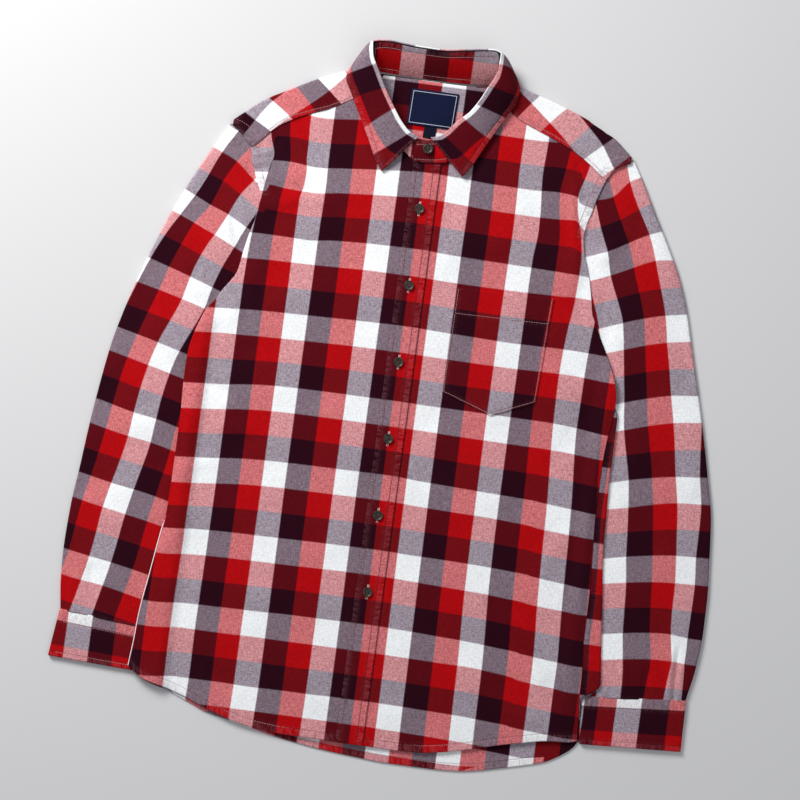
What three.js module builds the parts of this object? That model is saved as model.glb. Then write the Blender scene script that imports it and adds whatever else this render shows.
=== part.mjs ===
// A long-sleeved checked flannel shirt, buttoned up and laid flat on its back.
// Millimetres, +Z up from the surface it lies on, +Y towards the collar, +X towards the wearer's left sleeve.
// Left and right in the names are the wearer's, so the right front lies on the -X side.

import * as THREE from "three";

// Walls
const CLOTH = 1.2; // one layer of flannel
const BAND = 1.5; // placket and collar, two plies
const CUFF = 1.8; // cuff, two plies and interlining
const LABEL = 1.0;
const AIR = 0.35; // between two layers that lie on each other

// Heights of the middle of a layer over the surface
const LOW = CLOTH / 2; // a layer that lies on the surface
const FRONT = 4.3; // both fronts where nothing lifts them
const YOKE_TOP = 5.8; // yoke where it comes over the shoulder
const SLEEVE_TOP = 4.0; // upper layer of a sleeve
const SLEEVE_TUCK = 2.4; // the same where it goes under the front's armhole edge
const LIFT = 5.8; // rise of the body's sides over the sleeves
const SIDE_PRESS = 2.1; // how far the front's middle is over the back's at a side edge

// Where the body starts to rise and lies fully on a sleeve, measured out from the placket
const RISE_FROM = 221;
const RISE_TO = 239;
const UNDERARM_TOP = 100;
const UNDERARM_LOW = 48;

// The front closing
const PLACKET_WEARER_RIGHT = -21;
const PLACKET_WEARER_LEFT = 10;
const FRONTS_MEET = 4.3;
const BUTTON_X = -7.5;
const BUTTON_PITCH = 90.2;
const FIRST_BUTTON_Y = 224;
const FRONT_BUTTONS = 6;
const BUTTON_RADIUS = 5.7;
const BUTTON_HEIGHT = 2.6;

// The bounding box's middle, which is where the part's own origin lies
const MIDDLE_X = 10.5;
const MIDDLE_Y = -3.05;

const TUCK_UNDER = 1.5; // a sleeve's upper layer goes this far under the armhole edge
const BACK_YOKE_SEAM = 262;

// Left edge of the body as seen, from the front yoke seam down the armhole and side: y, x
const RIGHT_SIDE_EDGE = [
  [271, -211], [257, -209], [244, -204], [231, -199], [220, -194], [204, -193], [188, -195],
  [172, -199], [150, -203.5], [124, -208], [112, -214], [100, -222], [88, -228.5], [74, -238],
  [60, -243], [44, -248], [24, -251.5], [0, -252], [-60, -250], [-112, -250], [-164, -251],
  [-190, -255], [-212, -258], [-243, -262], [-268, -265.5], [-293, -268], [-320, -269.5],
  [-349, -272],
];

// The other side: y, x of the front's edge, x of the back's fold that lies beyond it
const LEFT_SIDE_EDGE = [
  [287, 204, 201], [275, 200, 197], [262, 196, 193], [247, 192.5, 190], [232, 188.5, 186],
  [218, 187, 184], [200, 190, 187], [182, 196, 193], [164, 201.5, 198], [144, 206, 203],
  [130, 209, 206], [118, 214.5, 211], [104, 221.5, 218], [86, 231, 228], [66, 240, 237],
  [50, 246, 243], [31, 249.5, 247.5], [12, 248.5, 253], [-11, 245.5, 253], [-45, 243.5, 253],
  [-100, 243.5, 255.3], [-130, 245, 256.3], [-160, 247, 259], [-200, 249, 264], [-250, 249.5, 269.5],
  [-280, 252, 273], [-299, 253, 275], [-318, 253.2, 254.8],
  [-332, 254.8, 256.3], [-346, 256.3, 257.8], [-357, 257.2, 258.8], [-367, 258, 259.8],
];

// Hems: x, y
const FRONT_HEM = [
  [-272, -349], [-263, -356], [-252, -362], [-231, -367.5], [-202, -376.5], [-177, -386.5],
  [-147, -396], [-119, -402], [-82, -404.8], [-37, -405], [4, -405.5], [46, -406], [75, -405],
  [104, -400.5], [132, -394], [162, -385.5], [181, -380.5], [196, -377], [223, -371.5],
  [249, -369.5], [258, -367],
];
const BACK_HEM = [
  [-271, -350], [-252, -363.5], [-231, -370], [-214, -376.5], [-192, -385.5], [-177, -391.5],
  [-148, -397.5], [-120, -403.5], [-94, -409], [-67, -413], [-41, -416.5], [0, -420], [40, -422.6],
  [96, -422.4], [123, -421], [143, -418], [170, -411.5], [207, -402], [223, -397], [245, -384],
  [256, -374], [259.8, -367],
];

// Top edge of each front, from the closing up the neckline and out along the yoke seam: x, y
const RIGHT_FRONT_TOP = [
  [4, 281], [-20, 278.5], [-30, 284], [-42, 296], [-54, 312], [-66, 330], [-76, 345], [-84, 351.5],
  [-103, 341.5], [-114, 334], [-129, 326.5], [-147, 319.5], [-161, 313.5], [-171, 309],
  [-184, 299.5], [-193, 290.5], [-201, 281], [-211, 271],
];
const LEFT_FRONT_TOP = [
  [4.6, 281], [17, 283], [28, 290], [40, 302], [52, 318], [64, 336], [74, 350], [80, 353],
  [93, 345.5], [107, 339], [123, 333], [140, 326.5], [157, 319], [173, 310.5], [186, 301.5],
  [200, 291], [204, 287],
];

// Yoke, a row for each section across the shoulders: x, y of the low edge and of the shoulder's fold,
// how far round it turns over the shoulder, 1 being right over, and how far it goes on from the turn
const YOKE_SECTIONS = [
  { x: -236, low: 295.5, fold: 299, turned: 1, on: 4.3 },
  { x: -230, low: 296, fold: 304.5, turned: 1, on: 12.3 },
  { x: -222, low: 288, fold: 311.5, turned: 1, on: 27.8 },
  { x: -211, low: 278, fold: 320.5, turned: 1, on: 47.5 },
  { x: -205, low: 262, fold: 325.5, turned: 1, on: 47.5 },
  { x: -193, low: 262, fold: 333, turned: 1, on: 40.8 },
  { x: -181, low: 262, fold: 339.5, turned: 1, on: 36 },
  { x: -161, low: 262, fold: 350.5, turned: 1, on: 35.3 },
  { x: -145, low: 262, fold: 359, turned: 1, on: 37 },
  { x: -129, low: 262, fold: 366.5, turned: 1, on: 38.3 },
  { x: -107, low: 262, fold: 374, turned: 1, on: 33 },
  { x: -95, low: 262, fold: 378, turned: 1, on: 30.3 },
  { x: -88, low: 262, fold: 380, turned: 1, on: 26 },
  { x: -86, low: 262, fold: 380, turned: 1, on: 10 },
  { x: -84, low: 262, fold: 379, turned: 0.75, on: 3 },
  { x: -82, low: 262, fold: 378, turned: 0.4, on: 2 },
  { x: -79, low: 262, fold: 377, turned: 0, on: 2 },
  { x: -62, low: 262, fold: 375.2, turned: 0, on: 2 },
  { x: -30, low: 262, fold: 374.7, turned: 0, on: 2 },
  { x: 0, low: 262, fold: 374.7, turned: 0, on: 2 },
  { x: 30, low: 262, fold: 375.2, turned: 0, on: 2 },
  { x: 58, low: 262, fold: 376.2, turned: 0, on: 2 },
  { x: 75, low: 262, fold: 378, turned: 0, on: 2 },
  { x: 78, low: 262, fold: 380, turned: 0.4, on: 2 },
  { x: 80, low: 262, fold: 381.5, turned: 0.75, on: 3 },
  { x: 82, low: 262, fold: 383, turned: 1, on: 10 },
  { x: 84, low: 262, fold: 383.2, turned: 1, on: 28 },
  { x: 93, low: 262, fold: 380.5, turned: 1, on: 33.3 },
  { x: 107, low: 262, fold: 376, turned: 1, on: 35.3 },
  { x: 123, low: 262, fold: 371.5, turned: 1, on: 36.8 },
  { x: 140, low: 262, fold: 366, turned: 1, on: 37.8 },
  { x: 157, low: 262, fold: 360, turned: 1, on: 39.3 },
  { x: 173, low: 262, fold: 354, turned: 1, on: 41.8 },
  { x: 186, low: 262, fold: 347, turned: 1, on: 43.8 },
  { x: 191, low: 262, fold: 344.5, turned: 1, on: 45.3 },
  { x: 197, low: 280, fold: 341, turned: 1, on: 46.3 },
  { x: 204, low: 293, fold: 338, turned: 1, on: 48 },
  { x: 211, low: 307, fold: 333.5, turned: 1, on: 30.8 },
  { x: 221, low: 313, fold: 325, turned: 1, on: 16.3 },
  { x: 230, low: 313.5, fold: 317.2, turned: 1, on: 4.5 },
];

// Rows across the yoke's low layer, its turn over the shoulder and its upper layer
const YOKE_ROWS = [0, 0.1, 0.2, 0.3, 0.4, 0.44, 0.48, 0.52, 0.56, 0.6, 0.7, 0.8, 0.9, 1];

// Upper edge of the yoke's lining, clear of the yoke's turn: x, y
const LINING_TOP = [
  [-192, 322], [-160, 342], [-125, 358], [-96, 366], [-89, 358], [-76, 358], [-71, 373.4],
  [-36, 373.2], [0, 373.2], [36, 373.6], [66, 374], [71, 360], [86, 360], [95, 368], [125, 360],
  [160, 349], [192, 334],
];

// Sleeves, a row for each section from the armhole to the cuff: x and y of the outer fold and of the
// inner fold, how much of the armhole's own curve the section keeps, and the height of its upper layer
const RIGHT_SLEEVE = [
  { ox: -239, oy: 293.5, ix: -215, iy: 72, keep: 1, top: SLEEVE_TUCK },
  { ox: -248, oy: 278, ix: -221, iy: 68, keep: 0.92, top: 3 },
  { ox: -258, oy: 258, ix: -227, iy: 63, keep: 0.82, top: SLEEVE_TOP },
  { ox: -277, oy: 220, ix: -234, iy: 53, keep: 0.64, top: SLEEVE_TOP + 0.6 },
  { ox: -294, oy: 180, ix: -239, iy: 40, keep: 0.46, top: SLEEVE_TOP + 0.8 },
  { ox: -309, oy: 140, ix: -241.5, iy: 23, keep: 0.3, top: SLEEVE_TOP + 0.4 },
  { ox: -322, oy: 100, ix: -242.5, iy: 4, keep: 0.16, top: SLEEVE_TOP },
  { ox: -334, oy: 58, ix: -243, iy: -19, keep: 0.06, top: SLEEVE_TOP },
  { ox: -343, oy: 18, ix: -243, iy: -44, keep: 0, top: SLEEVE_TOP },
  { ox: -350, oy: -30, ix: -243, iy: -76, keep: 0, top: SLEEVE_TOP },
  { ox: -355.5, oy: -78, ix: -242.5, iy: -112, keep: 0, top: SLEEVE_TOP },
  { ox: -360, oy: -128, ix: -243, iy: -150, keep: 0, top: SLEEVE_TOP },
  { ox: -364.5, oy: -175, ix: -243, iy: -190, keep: 0, top: SLEEVE_TOP },
  { ox: -366, oy: -220, ix: -243.5, iy: -228, keep: 0, top: SLEEVE_TOP },
  { ox: -364.5, oy: -258, ix: -244, iy: -266, keep: 0, top: SLEEVE_TOP },
  { ox: -360, oy: -295.5, ix: -245, iy: -305, keep: 0, top: SLEEVE_TOP },
];
const LEFT_SLEEVE = [
  { ox: 234, oy: 312.5, ix: 216, iy: 73, keep: 1, top: SLEEVE_TUCK },
  { ox: 242, oy: 299, ix: 222, iy: 69, keep: 0.93, top: 3 },
  { ox: 251, oy: 283, ix: 227.5, iy: 64, keep: 0.84, top: SLEEVE_TOP },
  { ox: 266, oy: 255, ix: 234, iy: 54, keep: 0.68, top: SLEEVE_TOP + 0.6 },
  { ox: 284, oy: 223, ix: 238.5, iy: 41, keep: 0.52, top: SLEEVE_TOP + 0.8 },
  { ox: 302, oy: 188, ix: 241, iy: 25, keep: 0.36, top: SLEEVE_TOP + 0.6 },
  { ox: 317, oy: 149, ix: 242.5, iy: 5, keep: 0.22, top: SLEEVE_TOP },
  { ox: 330, oy: 102, ix: 243, iy: -18, keep: 0.1, top: SLEEVE_TOP },
  { ox: 343, oy: 56, ix: 243.5, iy: -44, keep: 0.03, top: SLEEVE_TOP },
  { ox: 357, oy: 4, ix: 244, iy: -74, keep: 0, top: SLEEVE_TOP },
  { ox: 368, oy: -42, ix: 246, iy: -108, keep: 0, top: SLEEVE_TOP },
  { ox: 378, oy: -88, ix: 246.5, iy: -142, keep: 0, top: SLEEVE_TOP },
  { ox: 383, oy: -139, ix: 247, iy: -176, keep: 0, top: SLEEVE_TOP },
  { ox: 386.5, oy: -185, ix: 248.5, iy: -210, keep: 0, top: SLEEVE_TOP },
  { ox: 387, oy: -225, ix: 250.5, iy: -245, keep: 0, top: SLEEVE_TOP },
  { ox: 384, oy: -264, ix: 254, iy: -280, keep: 0, top: SLEEVE_TOP },
  { ox: 377, oy: -304.5, ix: 258, iy: -315, keep: 0, top: SLEEVE_TOP },
];

// The yoke's part of each armhole, from the shoulder tip towards the front: x, y
const RIGHT_YOKE_ARMHOLE = [[-239, 293.5], [-229, 291], [-220, 283], [-214, 277.5]];
const LEFT_YOKE_ARMHOLE = [[234, 312.5], [222, 308.5], [211.5, 302.5], [206, 292.5]];

// The last of each armhole, under the body: x, y
const RIGHT_UNDERARM = [[-216, 100], [-217, 90], [-216.8, 80], [-215, 72]];
const LEFT_UNDERARM = [[216.5, 102], [218, 91], [217.8, 81], [216, 73]];

// How far the back ends inside the body's edge: y, distance
const BACK_INSIDE = [
  [262, 3], [118, 3], [104, 9], [90, 19], [74, 27], [62, 21], [54, 12], [46, 4], [30, 2], [20, 1],
];

// Cuffs, a row for each end of the band: x and y at the outer fold and at the inner fold
const RIGHT_CUFF = [
  { ox: -360.5, oy: -295.9, ix: -245.2, iy: -305.45 },
  { ox: -367, oy: -350, ix: -247, iy: -355 },
];
const LEFT_CUFF = [
  { ox: 377.6, oy: -305, ix: 257, iy: -315.6 },
  { ox: 379, oy: -363, ix: 262, iy: -369.5 },
];

// Neckband, from its lower end under the closing round the back to the end on top:
// x, y, z of the seam it is sewn into and of its top, where the collar rolls over
const STAND_SECTIONS = [
  { sx: 16, sy: 281.5, sz: 5.8, rx: 12, ry: 302, rz: 8.2 },
  { sx: -2, sy: 280, sz: 5.8, rx: -4, ry: 303.5, rz: 8.4 },
  { sx: -19, sy: 279.5, sz: 5.8, rx: -21, ry: 304.5, rz: 9.2 },
  { sx: -33, sy: 288.5, sz: 5.8, rx: -31, ry: 309.5, rz: 11 },
  { sx: -45, sy: 301, sz: 5.8, rx: -42, ry: 320, rz: 13.5 },
  { sx: -56, sy: 317, sz: 5.8, rx: -53, ry: 336, rz: 16 },
  { sx: -68, sy: 336, sz: 5.8, rx: -64.5, ry: 355, rz: 19 },
  { sx: -77, sy: 352, sz: 6.4, rx: -75, ry: 374, rz: 22 },
  { sx: -80.5, sy: 366, sz: 7.2, rx: -83, ry: 391, rz: 24.5 },
  { sx: -77, sy: 377.5, sz: 4, rx: -84, ry: 404, rz: 26 },
  { sx: -62, sy: 377, sz: 2.6, rx: -66, ry: 408, rz: 26.5 },
  { sx: -35, sy: 376.2, sz: 2.2, rx: -37, ry: 406, rz: 26 },
  { sx: -5, sy: 376, sz: 2.2, rx: -6, ry: 405.5, rz: 26 },
  { sx: 25, sy: 376.6, sz: 2.2, rx: 24, ry: 409.5, rz: 26.5 },
  { sx: 52, sy: 378, sz: 2.6, rx: 51, ry: 413.5, rz: 27 },
  { sx: 71, sy: 379, sz: 4, rx: 60, ry: 410, rz: 26.5 },
  { sx: 77, sy: 367, sz: 7.2, rx: 60, ry: 391, rz: 24.5 },
  { sx: 75, sy: 353, sz: 6.4, rx: 52, ry: 371, rz: 22 },
  { sx: 67, sy: 338, sz: 5.8, rx: 43, ry: 353, rz: 19 },
  { sx: 56, sy: 321, sz: 5.8, rx: 34, ry: 340.5, rz: 16.5 },
  { sx: 44, sy: 305, sz: 6.4, rx: 22, ry: 329, rz: 14.5 },
  { sx: 31, sy: 291, sz: 7.4, rx: 10, ry: 314, rz: 12.4 },
  { sx: 17, sy: 283, sz: 7.9, rx: 3, ry: 306, rz: 10.9 },
  { sx: -2, sy: 279, sz: 7.9, rx: -7, ry: 304, rz: 10.8 },
  { sx: -22, sy: 278, sz: 7.9, rx: -21, ry: 301, rz: 10.6 },
];

// Collar's fall, from the point on the right front round the back to the point on the left front:
// x, y, z on the roll and at the outer edge, and how far the roll swells out between them
const LEAF_SECTIONS = [
  { rx: -20, ry: 306.3, rz: 12, ex: -57, ey: 262, ez: 7.2, swell: 2 },
  { rx: -31, ry: 311, rz: 13.4, ex: -66, ey: 275, ez: 7.4, swell: 3 },
  { rx: -42, ry: 321.5, rz: 15.8, ex: -77, ey: 297, ez: 7.6, swell: 4 },
  { rx: -53.5, ry: 337.5, rz: 18.2, ex: -92, ey: 325, ez: 8.2, swell: 5 },
  { rx: -65.5, ry: 356, rz: 21.2, ex: -105, ey: 349, ez: 9.4, swell: 6 },
  { rx: -76, ry: 375.5, rz: 24.2, ex: -112, ey: 364, ez: 9.4, swell: 7 },
  { rx: -84.5, ry: 392.5, rz: 26.7, ex: -107.5, ey: 379, ez: 8, swell: 8 },
  { rx: -86.5, ry: 406.5, rz: 28.2, ex: -97, ey: 391, ez: 3, swell: 9 },
  { rx: -66, ry: 410.2, rz: 28.7, ex: -68, ey: 394, ez: 1.2, swell: 10 },
  { rx: -37, ry: 408.2, rz: 28.2, ex: -38, ey: 393, ez: 1.2, swell: 10 },
  { rx: -6, ry: 407.7, rz: 28.2, ex: -6, ey: 393, ez: 1.2, swell: 10 },
  { rx: 24, ry: 411.7, rz: 28.7, ex: 24, ey: 395, ez: 1.2, swell: 10 },
  { rx: 53, ry: 415.7, rz: 29.2, ex: 54, ey: 398, ez: 1.2, swell: 9 },
  { rx: 62.5, ry: 412, rz: 28.7, ex: 79, ey: 394, ez: 3, swell: 9 },
  { rx: 61.5, ry: 392, rz: 26.7, ex: 89.5, ey: 378, ez: 8, swell: 8 },
  { rx: 53.5, ry: 372, rz: 24.2, ex: 88, ey: 362, ez: 9.4, swell: 7 },
  { rx: 44.5, ry: 354, rz: 21.2, ex: 78, ey: 343.5, ez: 9.4, swell: 6 },
  { rx: 35.5, ry: 341.5, rz: 18.6, ex: 66, ey: 321, ez: 9, swell: 5 },
  { rx: 24, ry: 330.5, rz: 16.8, ex: 56, ey: 301, ez: 9, swell: 4 },
  { rx: 12, ry: 316, rz: 15.4, ex: 47, ey: 283, ez: 9.6, swell: 3 },
  { rx: 4, ry: 309.5, rz: 14.2, ex: 41, ey: 273, ez: 9.8, swell: 3 },
  { rx: -5, ry: 307.5, rz: 13.4, ex: 37, ey: 268, ez: 9.8, swell: 3 },
];

// Large folds in the fronts: both ends, half width and height, which is negative for a trough
const FRONT_FOLDS = [
  { x0: 170, y0: 285, x1: 184, y1: 170, half: 8, rise: 2.0 },
  { x0: 150, y0: -226, x1: 214, y1: -302, half: 11, rise: 1.4 },
  { x0: -196, y0: 262, x1: -150, y1: 236, half: 9, rise: 1.2 },
  { x0: -214, y0: 60, x1: -180, y1: 150, half: 13, rise: 1.0 },
  { x0: 222, y0: 40, x1: 190, y1: 120, half: 12, rise: 1.2 },
];

// Helpers on numbers and tables

const mix = (from, to, share) => from + (to - from) * share;

function ease(share) {
  const s = Math.min(1, Math.max(0, share));
  return s * s * (3 - 2 * s);
}

// Reads a table of rows at a key in its first column, whichever way that column runs
function lookUp(rows, key, column = 1) {
  const up = rows[0][0] < rows[rows.length - 1][0] ? 1 : -1;
  if (up * key <= up * rows[0][0]) return rows[0][column];
  for (let i = 1; i < rows.length; i += 1) {
    if (up * key <= up * rows[i][0]) {
      const share = (key - rows[i - 1][0]) / (rows[i][0] - rows[i - 1][0]);
      return mix(rows[i - 1][column], rows[i][column], share);
    }
  }
  return rows[rows.length - 1][column];
}

// Reads every column of evenly spread sections at a share of their run
function sectionAt(sections, share) {
  const last = sections.length - 1;
  const place = Math.min(last, Math.max(0, share * last));
  const before = Math.min(last - 1, Math.floor(place));
  const found = {};
  for (const key of Object.keys(sections[0])) {
    found[key] = mix(sections[before][key], sections[before + 1][key], place - before);
  }
  return found;
}

const evenly = (count) => Array.from({ length: count + 1 }, (_, i) => i / count);

// Builders of closed walls

function geometryFrom(points, faces) {
  const geometry = new THREE.BufferGeometry();
  const flat = points.flatMap((p) => [p.x, p.y, p.z]);
  geometry.setAttribute("position", new THREE.Float32BufferAttribute(flat, 3));
  let volume = 0;
  for (const [i, j, k] of faces) {
    volume += points[i].dot(new THREE.Vector3().crossVectors(points[j], points[k]));
  }
  geometry.setIndex(faces.flatMap(([i, j, k]) => (volume > 0 ? [i, j, k] : [i, k, j])));
  geometry.computeVertexNormals();
  return geometry;
}

// A wall whose middle surface is place(a, b) for a and b from 0 to 1. Closed round in a, it is a tube.
function wallAlong(place, across, along, wall, closed = false) {
  const step = 1e-3;
  const wrap = (a) => (closed ? (a + 1) % 1 : Math.min(1, Math.max(0, a)));
  const clip = (b) => Math.min(1, Math.max(0, b));
  const outer = [];
  const inner = [];
  for (const b of along) {
    for (const a of across) {
      const alongA = place(wrap(a + step), b).sub(place(wrap(a - step), b));
      const alongB = place(a, clip(b + step)).sub(place(a, clip(b - step)));
      const half = alongA.cross(alongB).normalize().multiplyScalar(wall / 2);
      outer.push(place(a, b).add(half));
      inner.push(place(a, b).sub(half));
    }
  }
  const columns = across.length;
  const rows = along.length;
  const under = outer.length;
  const faces = [];
  const quad = (i, j, k, l) => faces.push([i, j, k], [i, k, l]);
  const next = (i) => (i + 1) % columns;
  const spans = closed ? columns : columns - 1;
  for (let j = 0; j < rows - 1; j += 1) {
    for (let i = 0; i < spans; i += 1) {
      const corners = [
        j * columns + i, j * columns + next(i), (j + 1) * columns + next(i), (j + 1) * columns + i,
      ];
      quad(...corners);
      quad(...corners.map((c) => c + under).reverse());
    }
    if (!closed) {
      const end = columns - 1;
      quad(j * columns, (j + 1) * columns, (j + 1) * columns + under, j * columns + under);
      quad(j * columns + end + under, (j + 1) * columns + end + under, (j + 1) * columns + end,
        j * columns + end);
    }
  }
  for (let i = 0; i < spans; i += 1) {
    const last = (rows - 1) * columns;
    quad(i + under, next(i) + under, next(i), i);
    quad(last + i, last + next(i), last + next(i) + under, last + i + under);
  }
  return geometryFrom([...outer, ...inner], faces);
}

// Heights of the body's layers

function bodyLift(x, y) {
  const out = ease((Math.abs(x) - RISE_FROM) / (RISE_TO - RISE_FROM));
  const down = ease((UNDERARM_TOP - y) / (UNDERARM_TOP - UNDERARM_LOW));
  const besideLeftCuff = x > 0 ? ease((y + 364) / 46) : 1;
  return LIFT * out * down * besideLeftCuff;
}

function foldRise(folds, x, y) {
  let rise = 0;
  for (const f of folds) {
    const length = Math.hypot(f.x1 - f.x0, f.y1 - f.y0);
    const ux = (f.x1 - f.x0) / length;
    const uy = (f.y1 - f.y0) / length;
    const run = ((x - f.x0) * ux + (y - f.y0) * uy) / length;
    const off = (x - f.x0) * uy - (y - f.y0) * ux;
    const ends = ease(run * 3 + 0.5) * ease((1 - run) * 3 + 0.5);
    rise += f.rise * ends * Math.exp(-((off / f.half) ** 2));
  }
  return rise;
}

function frontHeight(x, y) {
  const edge = x < 0 ? lookUp(RIGHT_SIDE_EDGE, y) : lookUp(LEFT_SIDE_EDGE, y);
  const inside = Math.abs(edge) - Math.abs(x);
  const pressed = ease((UNDERARM_LOW - y) / 30) * (1 - ease(inside / 9));
  const over = mix(FRONT - LOW, SIDE_PRESS, pressed);
  return LOW + bodyLift(x, y) + over + foldRise(FRONT_FOLDS, x, y) * (1 - pressed);
}

// Panels: an area between four edges, filled evenly from them

function filledFrom(west, east, south, north, height) {
  const corner = { sw: south(0), se: south(1), nw: north(0), ne: north(1) };
  return (a, b) => {
    const at = [0, 1].map((k) => {
      const sides = mix(west(b)[k], east(b)[k], a) + mix(south(a)[k], north(a)[k], b);
      return sides - mix(mix(corner.sw[k], corner.se[k], a), mix(corner.nw[k], corner.ne[k], a), b);
    });
    return new THREE.Vector3(at[0], at[1], height(at[0], at[1]));
  };
}

function rowShares(rows) {
  const first = rows[rows.length - 1][0];
  return rows.map((row) => (row[0] - first) / (rows[0][0] - first)).reverse();
}

// Columns lie closer where the body rises over a sleeve
const FRONT_COLUMNS = [0, 0.12, 0.24, 0.36, 0.48, 0.6, 0.7, 0.78, 0.84, 0.87, 0.9, 0.93, 0.96, 0.98, 1];
const BACK_COLUMNS = [0, 0.015, 0.03, 0.045, 0.06, 0.08, 0.11, 0.2, 0.35, 0.5, 0.65, 0.8, 0.86, 0.885, 0.9,
  0.915, 0.93, 0.94, 0.95, 0.96, 0.98, 1];

function frontPanel(side, hem, top, innerX) {
  const lowY = side[side.length - 1][0];
  const highY = side[0][0];
  const place = filledFrom(
    (b) => [innerX, mix(lookUp(hem, innerX), lookUp(top, innerX), b)],
    (b) => [lookUp(side, mix(lowY, highY, b)), mix(lowY, highY, b)],
    (a) => [mix(innerX, side[side.length - 1][1], a), lookUp(hem, mix(innerX, side[side.length - 1][1], a))],
    (a) => [mix(innerX, side[0][1], a), lookUp(top, mix(innerX, side[0][1], a))],
    frontHeight,
  );
  return wallAlong(place, FRONT_COLUMNS, rowShares(side), CLOTH);
}

function backPanel() {
  const wearerRight = (y) => lookUp(RIGHT_SIDE_EDGE, y) + lookUp(BACK_INSIDE, y);
  const wearerLeft = (y) => lookUp(LEFT_SIDE_EDGE, y, 2) - Math.max(0, lookUp(BACK_INSIDE, y) - 3);
  const top = BACK_YOKE_SEAM - AIR;
  const [lowRight, lowLeft] = [BACK_HEM[0], BACK_HEM[BACK_HEM.length - 1]];
  const place = filledFrom(
    (b) => [wearerRight(mix(lowRight[1], top, b)), mix(lowRight[1], top, b)],
    (b) => [wearerLeft(mix(lowLeft[1], top, b)), mix(lowLeft[1], top, b)],
    (a) => [mix(lowRight[0], lowLeft[0], a), lookUp(BACK_HEM, mix(lowRight[0], lowLeft[0], a))],
    (a) => [mix(wearerRight(top), wearerLeft(top), a), top],
    (x, y) => LOW + bodyLift(x, y),
  );
  const bands = LEFT_SIDE_EDGE.filter((row) => row[0] < top).map((row) => row[0]);
  const along = [...bands.reverse().map((y) => (y - lowLeft[1]) / (top - lowLeft[1])), 1];
  return wallAlong(place, BACK_COLUMNS, along, CLOTH);
}

// Yoke: from its back seam up to the shoulder's fold, round it, and down to the front seam
const YOKE_LOW_SHARE = 0.4;
const YOKE_TURN_SHARE = 0.6;

function yoke() {
  const turn = (YOKE_TOP - LOW) / 2;
  const place = (a, b) => {
    const row = sectionAt(YOKE_SECTIONS, a);
    const bend = row.fold - CLOTH / 2 - turn * Math.sin(Math.PI * Math.min(0.5, row.turned));
    if (b <= YOKE_LOW_SHARE) {
      return new THREE.Vector3(row.x, mix(row.low, bend, b / YOKE_LOW_SHARE), LOW);
    }
    const share = Math.min(1, (b - YOKE_LOW_SHARE) / (YOKE_TURN_SHARE - YOKE_LOW_SHARE));
    const angle = Math.PI * row.turned * share;
    const on = row.on * Math.max(0, (b - YOKE_TURN_SHARE) / (1 - YOKE_TURN_SHARE));
    const flat = (1 - row.turned) * 0.6 * share;
    return new THREE.Vector3(row.x, bend + Math.sin(angle) * turn + flat + Math.cos(angle) * on,
      LOW + turn * (1 - Math.cos(angle)) + Math.sin(angle) * on);
  };
  return wallAlong(place, evenly(YOKE_SECTIONS.length - 1), YOKE_ROWS, CLOTH);
}

function yokeLining() {
  const height = LOW + CLOTH + AIR;
  const half = LINING_TOP[LINING_TOP.length - 1][0];
  const place = (a, b) => {
    const x = mix(-half, half, a);
    return new THREE.Vector3(x, mix(BACK_YOKE_SEAM + 1, lookUp(LINING_TOP, x), b), height);
  };
  const columns = LINING_TOP.map((row) => (row[0] + half) / (2 * half));
  return wallAlong(place, columns, evenly(4), CLOTH);
}

// Sleeves and cuffs: flattened tubes

function alongLine(points, share) {
  const lengths = [0];
  for (let i = 1; i < points.length; i += 1) {
    const [p, q] = [points[i - 1], points[i]];
    lengths.push(lengths[i - 1] + Math.hypot(q[0] - p[0], q[1] - p[1]));
  }
  const rows = points.map((p, i) => [lengths[i] / lengths[lengths.length - 1], p[0], p[1]]);
  return [lookUp(rows, share, 1), lookUp(rows, share, 2)];
}

// A place round a flattened ring: how far across it lies, in millimetres from the outer fold, and its height
function roundFlatRing(a, width, low, high, crown) {
  const turn = (high - low) / 2;
  const flat = width - 2 * turn;
  const straight = 0.4;
  const bend = 0.5 - straight;
  if (a < straight) {
    const share = a / straight;
    const over = crown * Math.sin(Math.PI * share);
    return { across: turn + flat * (1 - share), height: high + over };
  }
  if (a < 0.5) {
    const angle = (Math.PI * (a - straight)) / bend;
    return { across: turn * (1 - Math.sin(angle)), height: low + turn * (1 + Math.cos(angle)) };
  }
  if (a < 0.5 + straight) {
    return { across: turn + flat * ((a - 0.5) / straight), height: low };
  }
  const angle = (Math.PI * (a - 0.5 - straight)) / bend;
  return { across: width - turn + turn * Math.sin(angle), height: low + turn * (1 - Math.cos(angle)) };
}

function ringShares() {
  const flats = 9;
  const bends = 3;
  const shares = [];
  for (const start of [0, 0.5]) {
    for (let i = 0; i < flats; i += 1) shares.push(start + (0.4 * i) / flats);
    for (let i = 0; i < bends; i += 1) shares.push(start + 0.4 + (0.1 * i) / bends);
  }
  return shares;
}

function sleeve(sections, armhole, crown) {
  const [first, last] = [armhole[0], armhole[armhole.length - 1]];
  const place = (a, t) => {
    const row = sectionAt(sections, t);
    const width = Math.hypot(row.ox - row.ix, row.oy - row.iy);
    const ring = roundFlatRing(a, width, LOW, row.top, crown * (1 - row.keep));
    const share = ring.across / width;
    const tuck = (SLEEVE_TUCK - LOW) / (row.top - LOW);
    const squeeze = mix(1, tuck, Math.min(1, row.keep * 1.3) * ease(share * 2.4 - 1));
    const [armX, armY] = alongLine(armhole, share);
    const x = mix(row.ox, row.ix, share) + row.keep * (armX - mix(first[0], last[0], share));
    const y = mix(row.oy, row.iy, share) + row.keep * (armY - mix(first[1], last[1], share));
    return new THREE.Vector3(x, y, LOW + (ring.height - LOW) * squeeze);
  };
  return wallAlong(place, ringShares(), evenly(sections.length - 1), CLOTH, true);
}

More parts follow.
